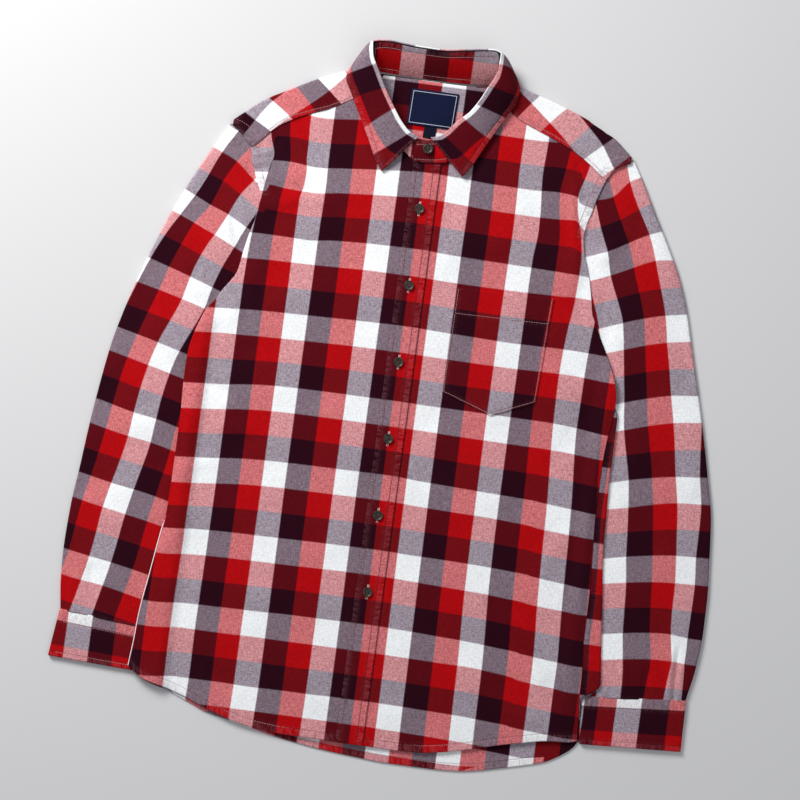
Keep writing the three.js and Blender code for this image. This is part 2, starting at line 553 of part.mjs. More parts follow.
// The armhole seam from the shoulder tip down to the underarm, tucked a little under the body, where
// it hooks in under the side
function armholeLine(yokePart, side, underarm) {
  const down = side.filter((row) => row[0] > 106).map((row) => [row[1], row[0]]);
  const seam = [...yokePart, ...down];
  const tucked = seam.map(([x, y], i) => [x - Math.sign(x) * TUCK_UNDER * Math.min(1, i), y]);
  return [...tucked, ...underarm];
}

function cuff(ends) {
  const place = (a, t) => {
    const row = sectionAt(ends, t);
    const width = Math.hypot(row.ox - row.ix, row.oy - row.iy);
    const ring = roundFlatRing(a, width, CUFF / 2, SLEEVE_TOP + CLOTH / 2 - CUFF / 2, 0.3);
    const share = ring.across / width;
    return new THREE.Vector3(mix(row.ox, row.ix, share), mix(row.oy, row.iy, share), ring.height);
  };
  return wallAlong(place, ringShares(), evenly(2), CUFF, true);
}

// Collar

function collarStand() {
  const place = (a, b) => {
    const row = sectionAt(STAND_SECTIONS, a);
    const bow = 1.2 * Math.sin(Math.PI * b);
    return new THREE.Vector3(mix(row.sx, row.rx, b), mix(row.sy, row.ry, b) - bow,
      mix(row.sz, row.rz, b) + bow);
  };
  return wallAlong(place, evenly(STAND_SECTIONS.length - 1), evenly(3), BAND);
}

function collarLeaf() {
  const place = (a, b) => {
    const row = sectionAt(LEAF_SECTIONS, a);
    const roll = new THREE.Vector3(row.rx, row.ry, row.rz);
    const edge = new THREE.Vector3(row.ex, row.ey, row.ez);
    const behind = row.ez < 6;
    const out = behind
      ? new THREE.Vector3(Math.sign(row.rx) * 0.2, 1, 0.1)
      : new THREE.Vector3(row.ex - row.rx, row.ey - row.ry, 0).normalize().setZ(0.6);
    const knee = roll.clone().add(edge).multiplyScalar(0.5).add(out.multiplyScalar(row.swell));
    return new THREE.QuadraticBezierCurve3(roll, knee, edge).getPoint(b);
  };
  return wallAlong(place, evenly(LEAF_SECTIONS.length - 1), evenly(5), BAND);
}

// Pieces that lie on the fronts

function onFront(outlineAt, columns, rows, wall, extra = 0) {
  const rise = CLOTH / 2 + AIR + wall / 2 + extra;
  const place = (a, b) => {
    const [x, y] = outlineAt(a, b);
    return new THREE.Vector3(x, y, frontHeight(x, y) + rise);
  };
  return wallAlong(place, evenly(columns), evenly(rows), wall);
}

function placket() {
  const top = 278;
  return onFront((a, b) => {
    const x = mix(PLACKET_WEARER_RIGHT, PLACKET_WEARER_LEFT, a);
    return [x, mix(lookUp(FRONT_HEM, x), top, b)];
  }, 2, 16, BAND);
}

function pocket() {
  const corners = { topIn: [49, 138.5], topOut: [162, 141], lowIn: [47.5, 16], lowOut: [157, 18] };
  const point = [107, -4];
  return onFront((a, b) => {
    const top = [mix(corners.topIn[0], corners.topOut[0], a), mix(corners.topIn[1], corners.topOut[1], a)];
    const low = a < 0.5
      ? [mix(corners.lowIn[0], point[0], a * 2), mix(corners.lowIn[1], point[1], a * 2)]
      : [mix(point[0], corners.lowOut[0], a * 2 - 1), mix(point[1], corners.lowOut[1], a * 2 - 1)];
    return [mix(low[0], top[0], b), mix(low[1], top[1], b)];
  }, 6, 6, CLOTH);
}

function inNeck(west, east, south, north) {
  const height = LOW + CLOTH + AIR + CLOTH / 2 + AIR + LABEL / 2;
  const place = (a, b) => new THREE.Vector3(mix(west, east, a), mix(south, north, b), height);
  return wallAlong(place, [0, 1], [0, 1], LABEL);
}

function button() {
  const profile = [
    [0, 0], [4.6, 0], [BUTTON_RADIUS, 0.9], [BUTTON_RADIUS, 1.9], [5.0, BUTTON_HEIGHT],
    [4.2, BUTTON_HEIGHT], [3.4, 1.9], [0, 1.9],
  ].map(([r, z]) => new THREE.Vector2(r, z));
  const geometry = new THREE.LatheGeometry(profile, 14);
  geometry.rotateX(Math.PI / 2);
  return geometry;
}

// Finishes
const flannel = { color: 0xa3121b, roughness: 0.95 };
const woven = { color: 0x10182e, roughness: 0.8 };
const horn = { color: 0x35322d, roughness: 0.35 };

const shirt = new THREE.Group();

function add(name, geometry, finish, place = [0, 0, 0]) {
  const mesh = new THREE.Mesh(geometry, new THREE.MeshStandardMaterial({ ...finish, metalness: 0 }));
  mesh.name = name;
  mesh.position.set(...place);
  shirt.add(mesh);
}

const rightArmhole = armholeLine(RIGHT_YOKE_ARMHOLE, RIGHT_SIDE_EDGE, RIGHT_UNDERARM);
const leftArmhole = armholeLine(LEFT_YOKE_ARMHOLE, LEFT_SIDE_EDGE, LEFT_UNDERARM);

add("back_panel", backPanel(), flannel);
add("front_right", frontPanel(RIGHT_SIDE_EDGE, FRONT_HEM, RIGHT_FRONT_TOP, FRONTS_MEET - AIR), flannel);
add("front_left", frontPanel(LEFT_SIDE_EDGE, FRONT_HEM, LEFT_FRONT_TOP, FRONTS_MEET + AIR), flannel);
add("placket", placket(), flannel);
add("pocket", pocket(), flannel);
add("yoke", yoke(), flannel);
add("yoke_lining", yokeLining(), flannel);
add("sleeve_right", sleeve(RIGHT_SLEEVE, rightArmhole, 1.2), flannel);
add("sleeve_left", sleeve(LEFT_SLEEVE, leftArmhole, 1.2), flannel);
add("cuff_right", cuff(RIGHT_CUFF), flannel);
add("cuff_left", cuff(LEFT_CUFF), flannel);
add("collar_stand", collarStand(), flannel);
add("collar_leaf", collarLeaf(), flannel);
add("neck_label", inNeck(-33, 19, 321.3, 362.5), woven);
add("size_tab", inNeck(-15, 0, 308, 320.9), woven);

const buttonSeat = FRONT + CLOTH / 2 + AIR + BAND + AIR;
add("button_1", button(), horn, [-7, 294, 12.2]);
for (let i = 0; i < FRONT_BUTTONS; i += 1) {
  const y = FIRST_BUTTON_Y - i * BUTTON_PITCH;
  add(`button_${i + 2}`, button(), horn, [BUTTON_X, y, buttonSeat]);
}

shirt.position.set(-MIDDLE_X, -MIDDLE_Y, 0);

export default shirt;
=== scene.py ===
"""A checked flannel shirt, buttoned up and laid flat on its back.

Lengths are millimetres in the shirt's own plan: +Y runs to the collar, +X to the wearer's left sleeve
and +Z up from the floor. Tailor turns them into the part's frame, in metres. Left and right in the
names are the wearer's, so the right front lies on the -X side.
"""

import logging
import math
from dataclasses import dataclass
from enum import Enum
from typing import Callable, Optional, Sequence, Union

import bpy
import numpy as np
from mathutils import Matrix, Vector


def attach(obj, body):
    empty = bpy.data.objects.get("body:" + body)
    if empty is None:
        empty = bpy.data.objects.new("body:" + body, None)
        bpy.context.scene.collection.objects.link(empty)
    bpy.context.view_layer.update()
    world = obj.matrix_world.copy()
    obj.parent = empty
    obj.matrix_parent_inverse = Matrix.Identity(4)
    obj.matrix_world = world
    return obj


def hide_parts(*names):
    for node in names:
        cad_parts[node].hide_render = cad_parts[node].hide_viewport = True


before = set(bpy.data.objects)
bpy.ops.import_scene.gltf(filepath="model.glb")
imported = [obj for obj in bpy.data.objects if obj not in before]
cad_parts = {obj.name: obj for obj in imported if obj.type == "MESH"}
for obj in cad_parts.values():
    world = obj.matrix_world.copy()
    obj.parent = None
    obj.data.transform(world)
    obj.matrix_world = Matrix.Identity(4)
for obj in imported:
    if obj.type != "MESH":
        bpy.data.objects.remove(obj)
log = logging.getLogger("shirt")

Rows = Sequence[Sequence[float]]
Values = Union[float, np.ndarray]
Socket = Union[bpy.types.NodeSocket, float]
MM = 0.001
MIDDLE = (10.5, -3.05)  # the part's own origin in the shirt's plan
TILT = math.radians(7.7)  # how far the shirt is turned in the view

# Walls of one cloth layer, of two-ply bands and of a cuff
CLOTH = 1.2
BAND = 1.5
CUFF = 1.8
AIR = 0.35

# Heights of the middle of each layer
LOW = CLOTH / 2
FRONT = 4.3
YOKE_TOP = 5.8
SLEEVE_TOP = 4.0
SLEEVE_TUCK = 2.4
LIFT = 5.8
SIDE_PRESS = 2.1
RISE_FROM, RISE_TO = 221, 239
UNDERARM_TOP, UNDERARM_LOW = 100, 48

# Front closing
PLACKET_LEFT, PLACKET_RIGHT = -21.0, 10.0
FRONTS_MEET = 4.3
BUTTON_X = -7.5
BUTTON_PITCH = 90.2
FIRST_BUTTON_Y = 224.0
BUTTON_RADIUS = 5.7
BUTTON_HEIGHT = 2.6
BACK_YOKE_SEAM = 262.0
TUCK_UNDER = 1.5

# Sewing and check: stitches above the hem and above the cloth's face, and width of one cell
HEM_ROW = 8
PROUD = 0.05
CELL = 28


class Side(Enum):
    """Which half of the shirt a piece is on, as seen from above."""

    WEARER_RIGHT = -1
    WEARER_LEFT = 1


# Edges of the body as they lie: y, x. The last column is the back's fold beyond the front's edge.
RIGHT_SIDE_EDGE = (
    (271, -211), (257, -209), (244, -204), (231, -199), (220, -194), (204, -193), (188, -195),
    (172, -199), (150, -203.5), (124, -208), (112, -214), (100, -222), (88, -228.5), (74, -238),
    (60, -243), (44, -248), (24, -251.5), (0, -252), (-60, -250), (-112, -250), (-164, -251),
    (-190, -255), (-212, -258), (-243, -262), (-268, -265.5), (-293, -268), (-320, -269.5),
    (-349, -272),
)
LEFT_SIDE_EDGE = (
    (287, 204, 201), (275, 200, 197), (262, 196, 193), (247, 192.5, 190), (232, 188.5, 186),
    (218, 187, 184), (200, 190, 187), (182, 196, 193), (164, 201.5, 198), (144, 206, 203),
    (130, 209, 206), (118, 214.5, 211), (104, 221.5, 218), (86, 231, 228), (66, 240, 237),
    (50, 246, 243), (31, 249.5, 247.5), (12, 248.5, 253), (-11, 245.5, 253), (-45, 243.5, 253),
    (-100, 243.5, 255.3), (-130, 245, 256.3), (-160, 247, 259), (-200, 249, 264), (-250, 249.5, 269.5),
    (-280, 252, 273), (-299, 253, 275), (-318, 253.2, 254.8),
    (-332, 254.8, 256.3), (-346, 256.3, 257.8), (-357, 257.2, 258.8), (-367, 258, 259.8),
)

# Hems: x, y
FRONT_HEM = (
    (-272, -349), (-263, -356), (-252, -362), (-231, -367.5), (-202, -376.5), (-177, -386.5),
    (-147, -396), (-119, -402), (-82, -404.8), (-37, -405), (4, -405.5), (46, -406), (75, -405),
    (104, -400.5), (132, -394), (162, -385.5), (181, -380.5), (196, -377), (223, -371.5),
    (249, -369.5), (258, -367),
)
BACK_HEM = (
    (-271, -350), (-252, -363.5), (-231, -370), (-214, -376.5), (-192, -385.5), (-177, -391.5),
    (-148, -397.5), (-120, -403.5), (-94, -409), (-67, -413), (-41, -416.5), (0, -420), (40, -422.6),
    (96, -422.4), (123, -421), (143, -418), (170, -411.5), (207, -402), (223, -397), (245, -384),
    (256, -374), (259.8, -367),
)

# Top edge of each front, from the closing up the neckline and out along the yoke seam: x, y
RIGHT_FRONT_TOP = (
    (4, 281), (-20, 278.5), (-30, 284), (-42, 296), (-54, 312), (-66, 330), (-76, 345), (-84, 351.5),
    (-103, 341.5), (-114, 334), (-129, 326.5), (-147, 319.5), (-161, 313.5), (-171, 309),
    (-184, 299.5), (-193, 290.5), (-201, 281), (-211, 271),
)
LEFT_FRONT_TOP = (
    (4.6, 281), (17, 283), (28, 290), (40, 302), (52, 318), (64, 336), (74, 350), (80, 353),
    (93, 345.5), (107, 339), (123, 333), (140, 326.5), (157, 319), (173, 310.5), (186, 301.5),
    (200, 291), (204, 287),
)

# Yoke, across the shoulders: x, y of the low edge, of the shoulder's fold, of the upper layer's edge,
# and 1 where the neck leaves only the low layer
YOKE_SECTIONS = (
    (-236, 295.5, 299, 291.5, 0), (-230, 296, 304.5, 289, 0), (-222, 288, 311.5, 280.5, 0),
    (-211, 278, 320.5, 269.8, 0), (-205, 262, 325.5, 274.8, 0), (-193, 262, 333, 289, 0),
    (-181, 262, 339.5, 300.3, 0), (-161, 262, 350.5, 312, 0), (-145, 262, 359, 318.8, 0),
    (-129, 262, 366.5, 325, 0), (-107, 262, 374, 337.8, 0), (-95, 262, 378, 344.5, 0),
    (-86, 262, 381, 350, 0), (-80, 262, 375, 0, 1), (-62, 262, 374.5, 0, 1), (-30, 262, 374, 0, 1),
    (0, 262, 374, 0, 1), (30, 262, 374.5, 0, 1), (58, 262, 375.5, 0, 1), (76, 262, 376.5, 0, 1),
    (82, 262, 383.5, 351.5, 0), (93, 262, 380.5, 344, 0), (107, 262, 376, 337.5, 0),
    (123, 262, 371.5, 331.5, 0), (140, 262, 366, 325, 0), (157, 262, 360, 317.5, 0),
    (173, 262, 354, 309, 0), (186, 262, 347, 300, 0), (191, 262, 344.5, 296, 0),
    (197, 280, 341, 291.5, 0), (204, 293, 338, 286.8, 0), (211, 307, 333.5, 299.5, 0),
    (221, 313, 325, 305.5, 0), (230, 313.5, 317.2, 309.5, 0),
)
LINING_TOP = (
    (-192, 322), (-160, 342), (-125, 358), (-96, 366), (-89, 358), (-76, 358), (-71, 373.4),
    (-36, 373.2), (0, 373.2), (36, 373.6), (66, 374), (71, 360), (86, 360), (95, 368), (125, 360),
    (160, 349), (192, 334),
)

# Sleeves from the armhole to the cuff: x and y of the outer fold, x and y of the inner fold, how much
# of the armhole's curve the section keeps, height of the upper layer
RIGHT_SLEEVE = (
    (-239, 293.5, -215, 72, 1, 2.4), (-248, 278, -221, 68, 0.92, 3), (-258, 258, -227, 63, 0.82, 4),
    (-277, 220, -234, 53, 0.64, 4.6), (-294, 180, -239, 40, 0.46, 4.8), (-309, 140, -241.5, 23, 0.3, 4.4),
    (-322, 100, -242.5, 4, 0.16, 4), (-334, 58, -243, -19, 0.06, 4), (-343, 18, -243, -44, 0, 4),
    (-350, -30, -243, -76, 0, 4), (-355.5, -78, -242.5, -112, 0, 4), (-360, -128, -243, -150, 0, 4),
    (-364.5, -175, -243, -190, 0, 4), (-366, -220, -243.5, -228, 0, 4), (-364.5, -258, -244, -266, 0, 4),
    (-360, -295.5, -245, -305, 0, 4),
)
LEFT_SLEEVE = (
    (234, 312.5, 216, 73, 1, 2.4), (242, 299, 222, 69, 0.93, 3), (251, 283, 227.5, 64, 0.84, 4),
    (266, 255, 234, 54, 0.68, 4.6), (284, 223, 238.5, 41, 0.52, 4.8), (302, 188, 241, 25, 0.36, 4.6),
    (317, 149, 242.5, 5, 0.22, 4), (330, 102, 243, -18, 0.1, 4), (343, 56, 243.5, -44, 0.03, 4),
    (357, 4, 244, -74, 0, 4), (368, -42, 246, -108, 0, 4), (378, -88, 246.5, -142, 0, 4),
    (383, -139, 247, -176, 0, 4), (386.5, -185, 248.5, -210, 0, 4), (387, -225, 250.5, -245, 0, 4),
    (384, -264, 254, -280, 0, 4), (377, -304.5, 258, -315, 0, 4),
)
RIGHT_YOKE_ARMHOLE = ((-239, 293.5), (-229, 291), (-220, 283), (-214, 277.5))
LEFT_YOKE_ARMHOLE = ((234, 312.5), (222, 308.5), (211.5, 302.5), (206, 292.5))
RIGHT_UNDERARM = ((-216, 100), (-217, 90), (-216.8, 80), (-215, 72))
LEFT_UNDERARM = ((216.5, 102), (218, 91), (217.8, 81), (216, 73))
# How far the back ends inside the body's edge: y, distance
BACK_INSIDE = (
    (262, 3), (118, 3), (104, 9), (90, 19), (74, 27), (62, 21), (54, 12), (46, 4), (30, 2), (20, 1),
)
RIGHT_CUFF = ((-360.5, -294.6, -245.2, -304.2), (-367, -350, -247, -355))
LEFT_CUFF = ((377.6, -303.7, 257, -314.3), (379, -363, 262, -369.5))

# Neckband from its lower end round the back to the end on top: x, y, z of its seam and of its top
STAND_SECTIONS = (
    (16, 281.5, 5.8, 12, 302, 8.2), (-2, 280, 5.8, -4, 303.5, 8.4), (-19, 279.5, 5.8, -21, 304.5, 9.2),
    (-33, 288.5, 5.8, -31, 309.5, 11), (-45, 301, 5.8, -42, 320, 13.5), (-56, 317, 5.8, -53, 336, 16),
    (-68, 336, 5.8, -64.5, 355, 19), (-77, 352, 6.4, -75, 374, 22), (-80.5, 366, 7.2, -83, 391, 24.5),
    (-77, 377.5, 4, -84, 404, 26), (-62, 377, 2.6, -66, 408, 26.5), (-35, 376.2, 2.2, -37, 406, 26),
    (-5, 376, 2.2, -6, 405.5, 26), (25, 376.6, 2.2, 24, 409.5, 26.5), (52, 378, 2.6, 51, 413.5, 27),
    (71, 379, 4, 60, 410, 26.5), (77, 367, 7.2, 60, 391, 24.5), (75, 353, 6.4, 52, 371, 22),
    (67, 338, 5.8, 43, 353, 19), (56, 321, 5.8, 34, 340.5, 16.5), (44, 305, 6.4, 22, 329, 14.5),
    (31, 291, 7.4, 10, 314, 12.4), (17, 283, 7.9, 3, 306, 10.9), (-2, 279, 7.9, -7, 304, 10.8),
    (-22, 278, 7.9, -21, 301, 10.6),
)

# Collar's fall from the point on the right front to the point on the left front: x, y, z on the roll
# and at the outer edge, swell of the roll, and the check's row on the roll and at the edge
LEAF_SECTIONS = (
    (-20, 306.3, 12, -57, 262, 7.2, 2, 2.62, 2.35), (-31, 311, 13.4, -66, 275, 7.4, 3, 3.05, 2.82),
    (-42, 321.5, 15.8, -77, 297, 7.6, 4, 3.55, 3.6), (-53.5, 337.5, 18.2, -92, 325, 8.2, 5, 4.1, 4.5),
    (-65.5, 356, 21.2, -105, 349, 9.4, 6, 4.98, 5.3), (-76, 375.5, 24.2, -112, 364, 9.4, 7, 5.72, 5.85),
    (-84.5, 392.5, 26.7, -107.5, 379, 8, 8, 6.4, 6.45), (-86.5, 406.5, 28.2, -97, 391, 3, 9, 6.95, 7),
    (-66, 410.2, 28.7, -68, 394, 1.2, 10, 8.1, 8.1), (-37, 408.2, 28.2, -38, 393, 1.2, 10, 9.02, 9.02),
    (-6, 407.7, 28.2, -6, 393, 1.2, 10, 10.1, 10.1), (24, 411.7, 28.7, 24, 395, 1.2, 10, 11.15, 11.15),
    (53, 415.7, 29.2, 54, 398, 1.2, 9, 12.25, 12.25), (62.5, 412, 28.7, 79, 394, 3, 9, 12.65, 12.75),
    (61.5, 392, 26.7, 89.5, 378, 8, 8, 13.25, 13.6), (53.5, 372, 24.2, 88, 362, 9.4, 7, 14.1, 14.3),
    (44.5, 354, 21.2, 78, 343.5, 9.4, 6, 14.88, 14.95), (35.5, 341.5, 18.6, 66, 321, 9, 5, 15.5, 15.8),
    (24, 330.5, 16.8, 56, 301, 9, 4, 16.3, 16.5), (12, 316, 15.4, 47, 283, 9.6, 3, 16.85, 17.05),
    (4, 309.5, 14.2, 41, 273, 9.8, 3, 17.2, 17.45), (-5, 307.5, 13.4, 37, 268, 9.8, 3, 17.5, 17.65),
)

# Left and right edges of the six white columns at heights down the front: y, x...
WHITE_COLUMNS = (
    (345, -230, -202, -147, -120, -63, -36, 20, 48, 104, 132, 192, 220),
    (308, -222, -194, -147, -120.3, -63, -36, 20, 48, 102.8, 131, 185, 213),
    (285, -219, -190, -146, -120.3, -63, -36, 20, 48, 102.6, 130, 180, 208),
    (264, -212, -184, -145.5, -120, -63, -36, 20.3, 48, 103.2, 131.2, 174.4, 205),
    (250, -214, -187, -143.8, -119.4, -63, -36, 20.5, 48.2, 103.7, 132.6, 175.4, 206),
    (235, -216, -189.5, -144.5, -119, -63, -35.8, 20.5, 48.5, 104, 133.6, 179, 209),
    (215, -219, -192, -147.8, -119.2, -63, -36, 20, 48.3, 104.4, 134, 184.5, 214),
    (185, -224, -196, -148, -120, -63, -36, 20, 48, 104, 131.5, 188, 216),
    (144, -227, -199, -147.5, -120, -63, -36, 20, 48, 103.5, 131, 187, 215),
    (100, -228, -200, -147, -120, -63, -36, 20, 48, 103, 131, 182.5, 211.5),
    (50, -228.5, -200, -147, -120, -63, -36, 20, 48, 103, 131, 180, 209.5),
    (0, -228.5, -200, -147, -120, -63, -36, 20, 48, 103, 130.5, 181, 209),
    (-100, -228.5, -200, -147, -120, -63, -36, 20.5, 48.5, 103.5, 130.5, 186.5, 215),
    (-200, -229, -200.5, -147.3, -119.5, -63, -35.5, 21.5, 49.5, 104.5, 132, 190, 219),
    (-300, -230.5, -201.5, -148, -119, -63, -35, 22.5, 50.5, 108, 136.5, 195, 223),
    (-350, -230, -201, -148, -119, -63, -35, 23, 51, 109, 137, 195, 223),
    (-400, -231, -202, -149, -120, -64, -35, 23.5, 52, 110, 138, 195, 223),
)
# Top and bottom edges of the eight white rows at places across the front: x, y...
WHITE_ROWS = (
    (-250, 240, 219, 167, 137, 76, 47, -13, -43, -100, -130, -184, -214, -271, -300, -358, -386),
    (-214, 241, 220, 170, 140, 79, 50, -10, -39.5, -97, -127, -181, -211, -268.5, -297.5, -355, -384),
    (-187.4, 243, 221, 171, 141, 81, 51, -7, -36, -94, -124, -180, -210, -268, -297.5, -355, -383.5),
    (-184.6, 257.4, 229, 171, 141.2, 81.2, 51.2, -6.6, -35.7, -93.7, -123.7, -179.9, -209.9, -268, -297.5,
     -355, -383.4),
    (-165, 258.5, 227, 171, 142, 82, 52, -4.5, -34, -92, -122, -179.5, -209.5, -267.5, -297.5, -355, -383),
    (-133, 256, 226, 170.6, 142.5, 83, 53, -2.7, -32.5, -90.6, -120.6, -179, -209, -267, -297, -355.5, -383),
    (-100, 259, 230, 174, 143.5, 84, 54, -2.2, -32, -90, -120, -178.5, -208.5, -266, -297, -355, -383),
    (-50, 264, 234, 176.5, 145, 85.5, 55, -2, -32, -89.5, -119.5, -177.5, -207.5, -265.5, -297, -354.5, -383),
    (0, 267, 237, 177, 145, 86, 55, -2, -32, -89, -119, -177, -207, -265, -297, -354, -383),
    (35, 266, 235.5, 175.5, 144, 85, 54.5, -2.5, -32.5, -91, -120.5, -178, -208, -266, -297.5, -354.5, -384),
    (75, 264, 233.6, 174.5, 143.7, 84, 54, -2.5, -33.4, -92.5, -121.5, -178.5, -209.5, -267.5, -298,
     -355.5, -385),
    (120, 263.5, 233, 173.8, 143.8, 83, 53.8, -2.6, -33.8, -94, -122.5, -179.5, -211, -269.5, -298.5,
     -356.5, -386.5),
    (150, 265, 233.6, 173, 144.5, 83.5, 54.5, -2.8, -34, -95, -124, -181, -213, -272, -301, -358.5, -388),
    (174.5, 262.5, 235, 172.4, 145, 84, 55, -3, -34, -96, -126, -182.5, -215, -274, -304, -360, -390),
    (177, 256, 234, 172.2, 145.5, 84, 55, -3.2, -34.2, -96.6, -126.8, -183.3, -215.8, -274.9, -305.3,
     -360.9, -390.9),
    (188, 252.5, 224.5, 172, 146, 84, 55, -3.5, -34.5, -97.5, -128, -184.5, -217, -276, -307, -362, -392),
    (240, 246, 218, 166, 142, 82, 52, -9, -38, -102, -131, -189.5, -220, -280.5, -311.5, -366, -395),
)

# Where the check's lines cross on the yoke and sleeves: x, y, column, row
RIGHT_YOKE_CROSSINGS = (
    (-130, 347, 1, 1), (-150, 328.5, 2, 1), (-171, 310, 3, 1), (-192, 291, 4, 1),
    (-171, 346, 1.95, 0), (-194, 326, 3, 0), (-211, 301, 4, 0), (-223, 281, 4.75, 0),
    (-145, 358.5, 1, 0.3), (-167, 347, 2, 0.15), (-115, 334, 1, 1.7), (-143, 320, 2, 1.35),
    (-113, 366, 0.1, 1),
)
LEFT_YOKE_CROSSINGS = (
    (106, 364, 0, 3), (130, 344, 0, 4), (157, 320, 0, 5), (90, 376, 0, 2.3),
    (176.5, 344.5, 1, 5), (195, 326, 1, 6), (211, 301, 1, 7), (161, 359, 1, 4.3),
    (93, 346, -0.75, 3), (114, 373, 0.45, 3), (121, 333, -0.55, 4), (143, 359, 0.75, 4),
    (183, 353, 1.4, 5), (204, 334, 1.45, 6), (177, 309.5, 0.2, 6), (201, 291, 0.5, 7),
)
RIGHT_SLEEVE_CROSSINGS = (
    (-244.4, 259, -2, -2), (-226, 251, -1, -2), (-203, 231.5, 0, -2), (-239, 226, -1, -1),
    (-216.6, 213, 0, -1), (-226, 291, -2, -3.2), (-256, 232, -2, -1),
    (-269, 205, -2, 0), (-250, 196, -1, 0), (-228, 188, 0, 0), (-205, 176, 1, 0),
    (-283, 180, -2, 1), (-266, 173, -1, 1), (-240, 162, 0, 1), (-216, 151, 1, 1),
    (-311, 125, -2, 3), (-288, 118, -1, 3), (-262, 110, 0, 3), (-235, 101, 1, 3),
    (-322, 96, -2, 4), (-296, 90, -1, 4), (-268, 83, 0, 4), (-241, 75, 1, 4),
    (-340, 41, -2, 6), (-314, 35, -1, 6), (-289, 29, 0, 6), (-263, 22, 1, 6),
    (-332, -50, -1, 9), (-306, -56, 0, 9), (-279, -60, 1, 9), (-309, -84, 0, 10), (-282, -88, 1, 10),
    (-346, -136, -1, 12), (-321, -141, 0, 12), (-294, -145, 1, 12), (-327, -170, 0, 13),
    (-300, -175, 1, 13), (-360, -225, -1, 15), (-335, -229, 0, 15), (-309, -233, 1, 15),
    (-341, -258, 0, 16), (-315, -261, 1, 16), (-255, -66, 2, 9), (-268, -150, 2, 12), (-283, -238, 2, 15),
)
LEFT_SLEEVE_CROSSINGS = (
    (217, 204, 1, 0), (224, 177, 1, 1), (246, 124, 1, 3), (251, 93, 1, 4), (260, 32, 1, 6),
    (264, 0, 1, 7), (277, -57, 1, 9), (281, -89, 1, 10), (286, -146, 1, 12), (290, -176, 1, 13),
    (294, -235, 1, 15), (298, -265, 1, 16),
    (263, 230, 3, 0), (274, 201, 3, 1), (294, 139, 3, 3), (300, 108, 3, 4), (313, 47, 3, 6),
    (320, 16, 3, 7), (331, -46, 3, 9), (337, -76, 3, 10), (344, -137, 3, 12), (347, -169, 3, 13),
    (350, -229, 3, 15), (355, -260, 3, 16),
    (297.5, 204.5, 4, 1), (320.5, 144, 4, 3), (329.5, 113, 4, 4), (345.5, 51, 4, 6), (352.5, 20.5, 4, 7),
    (359, -43, 4, 9), (365, -74, 4, 10), (367, -136, 4, 12), (370, -168, 4, 13), (370, -231, 4, 15),
    (370, -261, 4, 16),
    (195, 262, 1, -2), (232, 289, 3, -2), (214, 271, 2, -2.1), (247, 258, 3, -1), (205, 232, 1, -1),
    (228, 302, 3, -2.6),
)


@dataclass(frozen=True)
class Crease:
    """A soft ridge, or a trough where rise is negative, between two places of the plan.

    bow moves its middle sideways, and lean, from -1 to 1, makes one flank steeper than the other.
    """

    x0: float
    y0: float
    x1: float
    y1: float
    half: float
    rise: float
    bow: float = 0.0
    lean: float = 0.0

    def rise_at(self, x: np.ndarray, y: np.ndarray) -> np.ndarray:
        """How far the crease lifts the cloth.

        Args:
            x, y: places in the plan.

        Returns:
            The rise at each place, in millimetres.
        """
        length = math.hypot(self.x1 - self.x0, self.y1 - self.y0)
        ux, uy = (self.x1 - self.x0) / length, (self.y1 - self.y0) / length
        run = ((x - self.x0) * ux + (y - self.y0) * uy) / length
        off = (x - self.x0) * uy - (y - self.y0) * ux - self.bow * 4 * run * (1 - run)
        half = self.half * (1 + self.lean * np.sign(off))
        ends = ease(run * 3 + 0.5) * ease((1 - run) * 3 + 0.5)
        return self.rise * ends * np.exp(-((off / half) ** 2))


# Large folds that the frame also has
FRONT_FOLDS = (
    Crease(170, 285, 184, 170, 8, 2.0), Crease(150, -226, 214, -302, 11, 1.4),
    Crease(-196, 262, -150, 236, 9, 1.2), Crease(-214, 60, -180, 150, 13, 1.0),
    Crease(222, 40, 190, 120, 12, 1.2),
)

